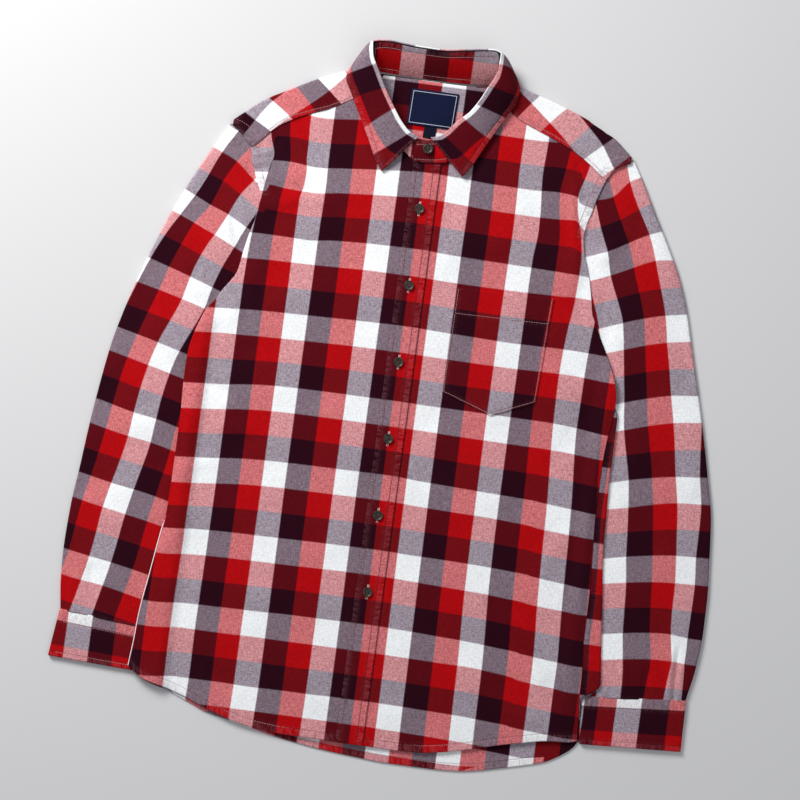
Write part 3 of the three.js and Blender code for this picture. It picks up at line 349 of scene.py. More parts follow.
# Smaller creases of the fronts
FRONT_CREASES = (
    Crease(-206, 246, -178, 255, 2.6, -1.3, 1, 0.3), Crease(-200, 238, -172, 232, 3.2, 0.9, -2),
    Crease(-208, 262, -186, 268, 3.0, 0.8, 1), Crease(-182, 284, -176, 240, 6, -0.9, 3, 0.2),
    Crease(-178, 236, -128, 226, 7, -0.9, 4), Crease(-170, 222, -110, 214, 10, 0.7, -3),
    Crease(-196, 206, -150, 214, 7, 0.7, 2), Crease(-204, 140, -186, 60, 9, -0.9, 4, 0.3),
    Crease(-230, 70, -205, 20, 10, 0.8, 3), Crease(-244, -8, -196, -24, 9, -0.8, -4),
    Crease(-240, -46, -170, -60, 14, 0.8, 5), Crease(-250, -118, -206, -100, 11, 0.6, -3),
    Crease(-262, -215, -220, -150, 12, 0.7, 6), Crease(-150, 120, -110, 20, 16, 0.7, 8),
    Crease(-100, 210, -60, 150, 14, -0.6, 5), Crease(-90, -20, -40, -100, 18, 0.8, -8),
    Crease(-140, -140, -70, -180, 16, -0.7, 6), Crease(-190, -230, -100, -250, 15, 0.8, 8),
    Crease(-90, -300, -40, -370, 13, 0.7, 5), Crease(-220, -320, -150, -366, 12, -0.7, -5),
    Crease(40, 230, 96, 190, 15, 0.7, 5), Crease(120, 236, 170, 196, 12, -0.8, 4),
    Crease(170, 300, 186, 262, 4, -1.4, 2, 0.3), Crease(172, 262, 182, 214, 4.5, -1.5, -2, -0.3),
    Crease(180, 256, 190, 246, 1.5, 0.7), Crease(180, 249, 190, 240, 1.4, -0.7),
    Crease(181, 243, 189, 235, 1.4, 0.7), Crease(183, 237, 190, 230, 1.4, -0.6),
    Crease(190, 160, 214, 60, 9, -1.0, 4), Crease(160, 100, 200, 30, 13, 0.8, 6),
    Crease(216, 12, 180, -60, 12, -0.8, -5), Crease(40, -40, 120, -70, 18, 0.7, -8),
    Crease(30, -110, 90, -160, 17, -0.6, 7), Crease(134, -216, 200, -286, 7, -1.3, 4, 0.4),
    Crease(172, -236, 232, -300, 9, 0.9, -4), Crease(196, -268, 240, -330, 8, -0.9, 3),
    Crease(60, -250, 130, -330, 15, 0.7, 6), Crease(150, -330, 206, -352, 10, 0.8, 4),
    Crease(30, -340, 90, -380, 12, -0.6, -4), Crease(224, -120, 190, -190, 12, 0.7, 6),
)


def mix(start: Values, end: Values, share: Values) -> Values:
    """Straight mix of two values."""
    return start + (end - start) * share


def ease(share: Values) -> np.ndarray:
    """Smooth step from 0 to 1."""
    s = np.clip(share, 0, 1)
    return s * s * (3 - 2 * s)


def smooth_at(rows: Rows, key: Values, column: int = 1) -> np.ndarray:
    """Reads a column of a table as a smooth curve that never overshoots its rows.

    Args:
        rows: rows whose first column runs one way.
        key: where to read it; beyond the table its end rows hold.
        column: the column to read.

    Returns:
        The values at key.
    """
    table = np.array([(row[0], row[column]) for row in rows], float)
    if table[0, 0] > table[-1, 0]:
        table = table[::-1]
    xs, ys = table[:, 0], table[:, 1]
    step = np.diff(xs)
    slope = np.diff(ys) / step
    tangent = np.zeros(len(xs))
    tangent[0], tangent[-1] = slope[0], slope[-1]
    same = slope[:-1] * slope[1:] > 0
    before, after = slope[:-1][same], slope[1:][same]
    tangent[1:-1][same] = 2 * before * after / (before + after)
    key = np.clip(np.asarray(key, float), xs[0], xs[-1])
    i = np.clip(np.searchsorted(xs, key, side="right") - 1, 0, len(xs) - 2)
    t = (key - xs[i]) / step[i]
    h00, h10 = (1 + 2 * t) * (1 - t) ** 2, t * (1 - t) ** 2
    h01, h11 = t * t * (3 - 2 * t), t * t * (t - 1)
    return h00 * ys[i] + h10 * step[i] * tangent[i] + h01 * ys[i + 1] + h11 * step[i] * tangent[i + 1]


def sections_at(sections: Rows, share: np.ndarray) -> list:
    """Reads every column of evenly spread sections at a share of their run, smoothly.

    Args:
        sections: rows of values, evenly spread along the run.
        share: places along the run, from 0 to 1.

    Returns:
        One array of values for each column.
    """
    keyed = [(i, *row) for i, row in enumerate(sections)]
    place = np.asarray(share, float) * (len(sections) - 1)
    return [smooth_at(keyed, place, column + 1) for column in range(len(sections[0]))]


def rise_of(creases: Sequence[Crease], x: np.ndarray, y: np.ndarray) -> np.ndarray:
    """Sum of several creases.

    Args:
        creases: the creases to add up.
        x, y: places in the plan.

    Returns:
        The rise at each place, in millimetres.
    """
    total = np.zeros(np.broadcast(x, y).shape)
    for crease in creases:
        total = total + crease.rise_at(x, y)
    return total


def spread(fine: float, length: float, edge: float = 0.9) -> np.ndarray:
    """Shares along a length, about fine apart, with an extra row close to each end.

    Args:
        fine: the usual distance between rows.
        length: the whole length.
        edge: the distance of the extra row from each end.

    Returns:
        Shares from 0 to 1.
    """
    count = max(2, round(length / fine))
    inner = np.linspace(0, 1, count + 1)
    near = min(0.4 / count, edge / length)
    return np.concatenate(([0, near], inner[1:-1], [1 - near, 1]))


class Ripple:
    """A soft, uneven wave over the plan that doesn't repeat in view."""

    def __init__(self, seed: int, wavelength: float, waves: int = 9, heading: float = 0.0,
                 fan: float = math.pi) -> None:
        """Draws the waves.

        Args:
            seed: picks the pattern.
            wavelength: mean distance between crests, in millimetres.
            waves: how many plain waves are summed.
            heading: the way that the crests follow one another, in radians.
            fan: how far the headings spread.
        """
        draw = np.random.default_rng(seed)
        angle = heading + fan * (draw.random(waves) - 0.5)
        number = 2 * math.pi / (wavelength * (0.6 + 0.9 * draw.random(waves)))
        self.kx, self.ky = number * np.cos(angle), number * np.sin(angle)
        self.phase = 2 * math.pi * draw.random(waves)

    def at(self, x: Values, y: Values) -> np.ndarray:
        """The wave at places of the plan, from about -1 to 1.

        Args:
            x, y: places in the plan.

        Returns:
            The wave at each place.
        """
        total = 0.0
        for kx, ky, phase in zip(self.kx, self.ky, self.phase):
            total = total + np.sin(kx * x + ky * y + phase)
        return total * 1.2 / len(self.kx)


DRAPE = Ripple(11, 95, 10)
SOFT = Ripple(23, 38, 12)
SMALL = Ripple(5, 15, 14)
PUCKER = Ripple(41, 6.2, 16)
CURL = Ripple(57, 22, 10)


def body_lift(x: Values, y: Values) -> np.ndarray:
    """How far the body's sides are lifted where they lie on the sleeves.

    Args:
        x, y: places in the plan.

    Returns:
        The lift at each place, in millimetres.
    """
    out = ease((np.abs(x) - RISE_FROM) / (RISE_TO - RISE_FROM))
    down = ease((UNDERARM_TOP - y) / (UNDERARM_TOP - UNDERARM_LOW))
    beside_cuff = np.where(np.asarray(x) > 0, ease((y + 364) / 46), 1.0)
    return LIFT * out * down * beside_cuff


def front_base(x: Values, y: Values) -> tuple:
    """Height of the fronts' middle without their small creases.

    Args:
        x, y: places in the plan.

    Returns:
        The height at each place, and how far it is pressed flat, from 0 to 1.
    """
    x, y = np.asarray(x, float), np.asarray(y, float)
    edge = np.where(x < 0, smooth_at(RIGHT_SIDE_EDGE, y), smooth_at(LEFT_SIDE_EDGE, y))
    inside = np.abs(edge) - np.abs(x)
    pressed = ease((UNDERARM_LOW - y) / 30) * (1 - ease(inside / 9))
    over = mix(FRONT - LOW, SIDE_PRESS, pressed)
    return LOW + body_lift(x, y) + over + rise_of(FRONT_FOLDS, x, y) * (1 - pressed), pressed


def front_height(x: Values, y: Values) -> np.ndarray:
    """Height of the fronts' middle with every crease, pucker and turned hem.

    Args:
        x, y: places in the plan.

    Returns:
        The height at each place, in millimetres.
    """
    x, y = np.asarray(x, float), np.asarray(y, float)
    base, pressed = front_base(x, y)
    calm = 1 - pressed
    soft = 1.2 * DRAPE.at(x, y) + 0.6 * SOFT.at(x, y) + 0.14 * SMALL.at(x, y)
    near_placket = np.exp(-((np.maximum(0, np.abs(x - 5.5) - 16) / 9) ** 2))
    soft = soft * (1 - 0.8 * near_placket)
    seam = 0.16 * PUCKER.at(x, y * 1.1) * np.exp(-((x - 12) / 5) ** 2)
    seam = seam + 0.14 * PUCKER.at(x + 40, y) * np.exp(-((x + 24) / 4) ** 2)
    hem_y = smooth_at(FRONT_HEM, x)
    over_hem = y - hem_y
    turned = 0.45 * (1 - ease((over_hem - 7.2) / 1.4))
    groove = -0.4 * np.exp(-(((over_hem - HEM_ROW) / 1.1) ** 2))
    wave = 0.45 * PUCKER.at(x, y * 0.3) * np.exp(-((over_hem - HEM_ROW) / 5) ** 2)
    top = smooth_at(RIGHT_FRONT_TOP, x) * (x < 4.3) + smooth_at(LEFT_FRONT_TOP, x) * (x >= 4.3)
    under_yoke = np.where(np.abs(x) > 86, top - y, 99)
    seam_top = -0.5 * np.exp(-((under_yoke / 2.2) ** 2))
    seam_top = seam_top + 0.1 * PUCKER.at(x, y) * np.exp(-((under_yoke / 8) ** 2))
    fine = np.maximum(1.9 * rise_of(FRONT_CREASES, x, y) + soft, -1.5)
    return base + calm * (fine + seam + turned + groove + wave + seam_top)


class CheckMap:
    """Where a place of the plan lies on the check, in cells: columns to the right and rows down."""

    def at(self, x: np.ndarray, y: np.ndarray) -> np.ndarray:
        """Column and row at each place, stacked on a last axis."""
        raise NotImplementedError


class StripedMap(CheckMap):
    """The check as white columns and rows whose edges are known at some places."""

    def __init__(self, columns: Rows, rows: Rows) -> None:
        """Keeps the edges.

        Args:
            columns: y, then left and right edge of each white column.
            rows: x, then top and bottom edge of each white row.
        """
        self.columns, self.rows = columns, rows

    @staticmethod
    def _count(levels: Rows, key: np.ndarray, value: np.ndarray, way: int) -> np.ndarray:
        """Counts cells from the first white one to value, where way is -1 if cells follow one another
        down.

        Args:
            levels: table of a key, then the places where white cells start and end.
            key: where to read the table.
            value: places to count to.
            way: 1 or -1.

        Returns:
            The count of cells at each place.
        """
        levels = sorted(levels)
        edges = [smooth_at(levels, key, i) * way for i in range(1, len(levels[0]))]
        lines = [edges[0]]
        for i in range(1, len(edges), 2):
            lines.append(edges[i])
            if i + 1 < len(edges):
                lines += [(edges[i] + edges[i + 1]) / 2, edges[i + 1]]
        wide = 29.0
        before = [lines[0] - wide * k for k in (4, 3, 2, 1)]
        lines = before + lines + [lines[-1] + wide * k for k in (1, 2, 3, 4)]
        total = np.full(np.shape(value), -4.0)
        for low, high in zip(lines[:-1], lines[1:]):
            total = total + np.clip((value * way - low) / (high - low), 0, 1)
        return total

    def at(self, x: np.ndarray, y: np.ndarray) -> np.ndarray:
        """Columns and rows counted at places of the plan."""
        return np.stack([self._count(self.columns, y, x, 1), self._count(self.rows, x, y, -1)], axis=-1)


class CrossingMap(CheckMap):
    """The check from places where its lines cross, with the smoothest surface through them."""

    def __init__(self, crossings: Rows, ease_off: float = 0.004) -> None:
        """Solves the surface.

        Args:
            crossings: x, y, column and row of each crossing.
            ease_off: how much the surface may miss a crossing to stay smooth.
        """
        known = np.array(crossings, float)
        self.centres = known[:, :2] / 100
        count = len(known)
        kernel = self._kernel(self.centres) + ease_off * np.eye(count)
        plane = np.hstack([np.ones((count, 1)), self.centres])
        whole = np.block([[kernel, plane], [plane.T, np.zeros((3, 3))]])
        self.weights = np.linalg.solve(whole, np.vstack([known[:, 2:], np.zeros((3, 2))]))

    def _kernel(self, places: np.ndarray) -> np.ndarray:
        """Thin-plate weights between the crossings and other places."""
        far = ((places[:, None, :] - self.centres[None]) ** 2).sum(-1)
        return 0.5 * far * np.log(np.maximum(far, 1e-12))

    def at(self, x: np.ndarray, y: np.ndarray) -> np.ndarray:
        """Columns and rows counted at places of the plan.

        Args:
            x, y: places in the plan.

        Returns:
            Column and row at each place.
        """
        places = np.stack([np.ravel(x), np.ravel(y)], -1) / 100
        parts = [self._kernel(part) for part in np.array_split(places, max(1, len(places) // 4000))]
        plane = np.hstack([np.ones((len(places), 1)), places])
        found = np.hstack([np.vstack(parts), plane]) @ self.weights
        return found.reshape(np.shape(x) + (2,))


class StraightMap(CheckMap):
    """An even check on a piece cut along the threads."""

    def __init__(self, x0: float, y0: float, wide: float, high: float, first_row: float = 0.0) -> None:
        """Keeps the place of one white column's edge and one row's edge.

        Args:
            x0, y0: where column 0 and first_row start.
            wide: a column's width, negative where columns follow one another to the left.
            high: a row's height, positive where rows follow one another up.
            first_row: the row that starts at y0.
        """
        self.x0, self.y0, self.wide, self.high, self.first_row = x0, y0, wide, high, first_row

    def at(self, x: np.ndarray, y: np.ndarray) -> np.ndarray:
        """Columns and rows counted at places of the plan."""
        return np.stack([(x - self.x0) / self.wide, self.first_row + (y - self.y0) / self.high], axis=-1)


FRONT_MAP = StripedMap(WHITE_COLUMNS, WHITE_ROWS)


class Shader:
    """Short ways to put a material together."""

    def __init__(self, name: str) -> None:
        """Starts a material with one surface shader.

        Args:
            name: the material's name.
        """
        self.material = bpy.data.materials.new(name)
        self.material.use_nodes = True
        self.tree = self.material.node_tree
        self.surface = self.tree.nodes["Principled BSDF"]

    def node(self, kind: str, **settings: object) -> bpy.types.Node:
        """Adds a node and sets its plain settings.

        Args:
            kind: the type of node.
            settings: its plain settings by name.

        Returns:
            The new node.
        """
        made = self.tree.nodes.new(kind)
        for key, value in settings.items():
            setattr(made, key, value)
        return made

    def link(self, source: bpy.types.NodeSocket, target: bpy.types.NodeSocket) -> None:
        """Joins an output socket to an input socket."""
        self.tree.links.new(source, target)

    def maths(self, operation: str, first: Socket, second: Optional[Socket] = None,
              third: Optional[Socket] = None) -> bpy.types.NodeSocket:
        """Adds a math node whose inputs are sockets or numbers, and gives its output.

        Args:
            operation: what the node does.
            first, second, third: its inputs, as many as it needs.

        Returns:
            The node's output.
        """
        made = self.node("ShaderNodeMath", operation=operation)
        for socket, value in zip(made.inputs, (first, second, third)):
            if value is None:
                continue
            if isinstance(value, (int, float)):
                socket.default_value = value
            else:
                self.link(value, socket)
        return made.outputs[0]

    def noise(self, place: bpy.types.NodeSocket, scale: float, detail: float = 2.0,
              rough: float = 0.5) -> bpy.types.NodeSocket:
        """Adds a noise texture at a place and gives its value.

        Args:
            place: where the noise is read.
            scale, detail, rough: the texture's settings.

        Returns:
            Its value, from 0 to 1.
        """
        made = self.node("ShaderNodeTexNoise")
        made.inputs["Scale"].default_value = scale
        made.inputs["Detail"].default_value = detail
        made.inputs["Roughness"].default_value = rough
        self.link(place, made.inputs["Vector"])
        return made.outputs[0]

    def ramp(self, value: bpy.types.NodeSocket, stops: Sequence,
             kind: str = "LINEAR") -> bpy.types.NodeSocket:
        """Adds a colour ramp over (place, colour) stops and gives its colour.

        Args:
            value: where the ramp is read.
            stops: places and their colours, in order.
            kind: how colours pass into one another.

        Returns:
            The colour there.
        """
        made = self.node("ShaderNodeValToRGB")
        made.color_ramp.interpolation = kind
        elements = made.color_ramp.elements
        while len(elements) > 1:
            elements.remove(elements[-1])
        elements[0].position, elements[0].color = stops[0][0], (*stops[0][1], 1)
        for place, colour in stops[1:]:
            elements.new(place).color = (*colour, 1)
        self.link(value, made.inputs[0])
        return made.outputs[0]

    def blend(self, kind: str, factor: Socket, first: Union[bpy.types.NodeSocket, tuple],
              second: Union[bpy.types.NodeSocket, tuple]) -> bpy.types.NodeSocket:
        """Mixes two colours and gives the result.

        Args:
            kind: the way of mixing.
            factor: how much of the second colour comes in.
            first, second: the colours.

        Returns:
            The mixed colour.
        """
        made = self.node("ShaderNodeMix", data_type="RGBA", blend_type=kind)
        for socket, value in ((made.inputs[0], factor), (made.inputs[6], first), (made.inputs[7], second)):
            if isinstance(value, (int, float)):
                socket.default_value = value
            elif isinstance(value, tuple):
                socket.default_value = (*value, 1)
            else:
                self.link(value, socket)
        return made.outputs[2]

    def set(self, **values: object) -> None:
        """Sets the surface's own inputs, with spaces written as underscores."""
        for key, value in values.items():
            self.surface.inputs[key.replace("_", " ")].default_value = value


def linear(red: int, green: int, blue: int) -> tuple:
    """A screen colour as linear light.

    Args:
        red, green, blue: channels from 0 to 255.

    Returns:
        The three channels from 0 to 1.
    """
    def channel(value: int) -> float:
        """One channel as linear light."""
        share = value / 255
        return share / 12.92 if share <= 0.04045 else ((share + 0.055) / 1.055) ** 2.4
    return channel(red), channel(green), channel(blue)


@dataclass(frozen=True)
class CheckedFlannel:
    """Brushed twill in a check of white, dark and red yarns, of which the upright ones show most.

    Each colour tuple follows the rows down: white, red, dark.
    """

    in_white: tuple = (linear(236, 238, 240), linear(202, 139, 143), linear(152, 140, 151))
    in_dark: tuple = (linear(121, 104, 115), linear(84, 8, 18), linear(38, 5, 18))
    in_red: tuple = (linear(199, 109, 112), linear(168, 7, 13), linear(108, 11, 18))
    faded: tuple = linear(176, 112, 122)
    soft_edge: float = 0.006

    def _bands(self, shader: Shader, place: bpy.types.NodeSocket, colours: Sequence[tuple],
               late: float = 0.0) -> bpy.types.NodeSocket:
        """Three colours that follow one another along place, one cell each. late moves the last change
        on.

        Args:
            shader: the material that gets the nodes.
            place: the count of cells.
            colours: the three colours.
            late: how far the last change is moved on.

        Returns:
            The colour at each place.
        """
        e = self.soft_edge
        first, second, third = colours
        wrapped = shader.maths("FRACT", shader.maths("DIVIDE", shader.maths("ADD", place, 2.5), 3.0))
        return shader.ramp(wrapped, (
            (0.0, first), (1 / 6 - e, first), (1 / 6 + e, second), (0.5 - e + late, second),
            (0.5 + e + late, third), (5 / 6 - e, third), (5 / 6 + e, first), (1.0, first),
        ))

    @staticmethod
    def _streaks(s: Shader, place: bpy.types.NodeSocket, across: float, up: float,
                 detail: float = 3) -> bpy.types.NodeSocket:
        """Noise that is stretched into streaks.

        Args:
            s: the material that gets the nodes.
            place: where the noise is read.
            across, up: its scale each way.
            detail: its detail.

        Returns:
            Its value, from 0 to 1.
        """
        stretched = s.node("ShaderNodeMapping")
        s.link(place, stretched.inputs[0])
        stretched.inputs["Scale"].default_value = (across, up, 1)
        return s.noise(stretched.outputs[0], 1, detail, 0.65)

    def _seams(self, s: Shader) -> tuple:
        """Puckers and the line along the stitches of the nearest seam, from the seam UV map; the material
        darkens that line and the puckers' troughs as painted shade.

        Its first value runs along the seam, the second is the distance from the stitches, less than 0
        towards the cloth's edge, both in millimetres.

        Args:
            s: the material that gets the nodes.

        Returns:
            How near the seam is, the line along its stitches, and the pucker about 0.
        """
        place = s.node("ShaderNodeSeparateXYZ")
        s.link(s.node("ShaderNodeUVMap", uv_map="seam").outputs[0], place.inputs[0])
        along, off = place.outputs[0], place.outputs[1]
        near = s.ramp(s.maths("MULTIPLY_ADD", off, 1 / 30, 0.5), (
            (0.0, (0.4, 0.4, 0.4)), (0.25, (1, 1, 1)), (0.47, (1, 1, 1)), (0.51, (0.5, 0.5, 0.5)),
            (0.58, (0.12, 0.12, 0.12)), (0.68, (0, 0, 0))))
        line = s.maths("SUBTRACT", 1.0, s.maths("MINIMUM", s.maths("ABSOLUTE", off), 1.0))
        sheared = s.node("ShaderNodeCombineXYZ")
        s.link(s.maths("MULTIPLY_ADD", off, 0.2, along), sheared.inputs[0])
        s.link(off, sheared.inputs[1])
        pucker = s.maths("SUBTRACT", self._streaks(s, sheared.outputs[0], 0.34, 0.1, 1.2), 0.5)
        return near, line, pucker

    def material(self, name: str = "checked_flannel") -> bpy.types.Material:
        """Builds the cloth's material, which reads the check's place from the cells UV map.

        Returns:
            The material.

        Args:
            name: the material's name.
        """
        s = Shader(name)
        uv = s.node("ShaderNodeUVMap", uv_map="cells").outputs[0]
        apart = s.node("ShaderNodeSeparateXYZ")
        s.link(uv, apart.inputs[0])
        fray = s.maths("SUBTRACT", s.noise(uv, 40, 2), 0.5)
        u = s.maths("MULTIPLY_ADD", fray, 0.07, apart.outputs[0])
        v = s.maths("MULTIPLY_ADD", fray, -0.07, apart.outputs[1])
        none, full = (0.0, 0.0, 0.0), (1.0, 1.0, 1.0)
        dark_here = self._bands(s, u, (none, full, none), 4 * self.soft_edge)
        red_here = self._bands(s, u, (none, none, full))
        colour = s.blend("MIX", dark_here, self._bands(s, v, self.in_white), self._bands(s, v, self.in_dark))
        colour = s.blend("MIX", red_here, colour, self._bands(s, v, self.in_red))
        white_row = self._bands(s, v, (full, none, none))
        white_column = self._bands(s, u, (full, none, none))
        mixed = s.maths("ABSOLUTE", s.maths("SUBTRACT", white_row, white_column))
        both = s.maths("MULTIPLY", white_row, white_column)
        strength = s.maths("MULTIPLY_ADD", mixed, 0.4, 0.6)
        strength = s.maths("SUBTRACT", strength, s.maths("MULTIPLY", both, 0.27))
        heather = s.maths("ADD", s.maths("MULTIPLY", s.noise(uv, 15, 3, 0.7), 0.9), s.maths(
            "ADD", self._streaks(s, uv, 24, 5), self._streaks(s, uv, 5, 24)))
        shade = s.ramp(s.maths("DIVIDE", heather, 2.9), (
            (0.38, (0.58, 0.44, 0.47)), (0.5, (1.0, 1.0, 1.0)), (0.62, (1.4, 1.62, 1.58))))
        colour = s.blend("MULTIPLY", strength, colour, shade)
        near, line, pucker = self._seams(s)
        rubbed = s.maths("MAXIMUM", s.maths("MULTIPLY_ADD", pucker, 0.4, 0.07), 0.0)
        worn = s.maths("MULTIPLY", near, s.maths("MINIMUM", rubbed, 0.3))
        colour = s.blend("MIX", worn, colour, self.faded)
        # Painted shade: the colour is darkened in the puckers' troughs and along the stitch lines, as shade
        # in these grooves.
        pressed = s.maths("MULTIPLY", near, s.maths("MAXIMUM", s.maths("MULTIPLY", pucker, -1.5), 0.0))
        pressed = s.maths("MAXIMUM", pressed, s.maths("MULTIPLY", line, 0.32))
        colour = s.blend("MULTIPLY", pressed, colour, (0.3, 0.26, 0.3))
        s.link(colour, s.surface.inputs["Base Color"])
        ridges = s.maths("SUBTRACT", s.maths("MULTIPLY", near, pucker), s.maths("MULTIPLY", line, 0.35))
        folded = s.node("ShaderNodeBump")
        folded.inputs["Strength"].default_value = 0.8
        folded.inputs["Distance"].default_value = 0.0014
        s.link(ridges, folded.inputs["Height"])
        twill = s.maths("SINE", s.maths("MULTIPLY", s.maths("ADD", u, v), 2 * math.pi * 30))
        fuzz = s.maths("MULTIPLY_ADD", s.noise(uv, 60, 3, 0.7), 1.6, s.maths("MULTIPLY", twill, 0.16))
        bump = s.node("ShaderNodeBump")
        bump.inputs["Strength"].default_value = 0.35
        bump.inputs["Distance"].default_value = 0.0004
        s.link(fuzz, bump.inputs["Height"])
        s.link(folded.outputs[0], bump.inputs["Normal"])
        s.link(bump.outputs[0], s.surface.inputs["Normal"])
        s.set(Roughness=0.95, Specular_IOR_Level=0.05, Sheen_Weight=0.02, Sheen_Roughness=0.5)
        return s.material


@dataclass(frozen=True)
class Thread:
    """Sewing thread."""

    colour: tuple
    roughness: float = 0.7

    def material(self, name: str) -> bpy.types.Material:
        """Builds the thread's material.

        Args:
            name: the material's name.

        Returns:
            The material.
        """
        s = Shader(name)
        s.set(Base_Color=(*self.colour, 1), Roughness=self.roughness, Specular_IOR_Level=0.3)
        return s.material


@dataclass(frozen=True)
class Horn:
    """Dark mottled horn-like buttons."""

    dark: tuple = linear(14, 14, 12)
    pale: tuple = linear(74, 70, 58)

    def material(self) -> bpy.types.Material:
        """Builds the buttons' material.

        Returns:
            The material.
        """
        s = Shader("button_horn")
        place = s.node("ShaderNodeTexCoord").outputs["Object"]
        mottle = s.noise(place, 420, 3, 0.6)
        s.link(s.ramp(mottle, ((0.35, self.dark), (0.75, self.pale))), s.surface.inputs["Base Color"])
        s.set(Roughness=0.36, Specular_IOR_Level=0.4)
        return s.material


@dataclass(frozen=True)
class WovenLabel:
    """Dense navy label cloth with a plain pale line inside its edge."""

    ground: tuple = linear(13, 21, 50)
    line: tuple = linear(196, 202, 216)
    lined: bool = True

    def material(self, name: str) -> bpy.types.Material:
        """Builds the label's material, which reads millimetres from its edges in the cells UV map.

        Args:
            name: the material's name.

        Returns:
            The material.
        """
        s = Shader(name)
        uv = s.node("ShaderNodeUVMap", uv_map="cells").outputs[0]
        apart = s.node("ShaderNodeSeparateXYZ")
        s.link(uv, apart.inputs[0])
        rib = s.maths("SINE", s.maths("MULTIPLY", apart.outputs[1], 2 * math.pi / 0.5))
        colour = s.blend("MIX", 0.0, self.ground, self.line)
        if self.lined:
            inset = s.maths("MINIMUM", apart.outputs[0], apart.outputs[1])
            on_line = s.maths("LESS_THAN", s.maths("ABSOLUTE", s.maths("SUBTRACT", inset, 2.4)), 0.32)
            colour = s.blend("MIX", s.maths("MULTIPLY", on_line, 0.85), self.ground, self.line)
        s.link(colour, s.surface.inputs["Base Color"])
        bump = s.node("ShaderNodeBump")
        bump.inputs["Strength"].default_value = 0.25
        bump.inputs["Distance"].default_value = 0.0002
        s.link(rib, bump.inputs["Height"])
        s.link(bump.outputs[0], s.surface.inputs["Normal"])
        s.set(Roughness=0.8, Specular_IOR_Level=0.1)
        return s.material


@dataclass
class Wardrobe:
    """Every finish of the shirt, made once."""

    flannel: bpy.types.Material
    label: bpy.types.Material
    tab: bpy.types.Material
    horn: bpy.types.Material
    dark_thread: bpy.types.Material
    pale_thread: bpy.types.Material
    white_thread: bpy.types.Material

    @classmethod
    def made(cls) -> "Wardrobe":
        """Builds all the finishes.

        Returns:
            The finishes.
        """
        return cls(
            flannel=CheckedFlannel().material(),
            label=WovenLabel().material("label_cloth"),
            tab=WovenLabel(ground=linear(14, 16, 36), lined=False).material("tab_cloth"),
            horn=Horn().material(),
            dark_thread=Thread(linear(112, 30, 40)).material("maroon_thread"),
            pale_thread=Thread(linear(204, 150, 152)).material("pink_thread"),
            white_thread=Thread(linear(226, 200, 196)).material("white_thread"),
        )


@dataclass
class Surface:
    """The middle of a cloth: a grid of places in millimetres, and the check's place at each of them."""

    points: np.ndarray
    cells: np.ndarray
    closed: bool = False
    seams: Optional[np.ndarray] = None

    def track(self, rows: np.ndarray, columns: np.ndarray, lift: float) -> np.ndarray:
        """Places on the outer face along a line over the grid.

        Args:
            rows, columns: the line's places in grid steps, whole or not.
            lift: how far over the middle of the cloth they lie.

        Returns:
            The places in plan millimetres.
        """
        raised = self.points + self.normals() * lift
        rows, columns = np.broadcast_arrays(np.asarray(rows, float), np.asarray(columns, float))
        i = np.clip(rows.astype(int), 0, raised.shape[0] - 2)
        j = np.clip(columns.astype(int), 0, raised.shape[1] - 2)
        down, over = (rows - i)[:, None], (columns - j)[:, None]
        before = mix(raised[i, j], raised[i, j + 1], over)
        return mix(before, mix(raised[i + 1, j], raised[i + 1, j + 1], over), down)

    def normals(self) -> np.ndarray:
        """Unit normals of the grid.

        Returns:
            One unit vector for each place of the grid.
        """
        if self.closed:
            round_ = np.concatenate([self.points[:, -1:], self.points, self.points[:, :1]], axis=1)
            along = (round_[:, 2:] - round_[:, :-2])
        else:
            along = np.gradient(self.points, axis=1)
        normal = np.cross(along, np.gradient(self.points, axis=0))
        return normal / np.maximum(np.linalg.norm(normal, axis=-1, keepdims=True), 1e-9)


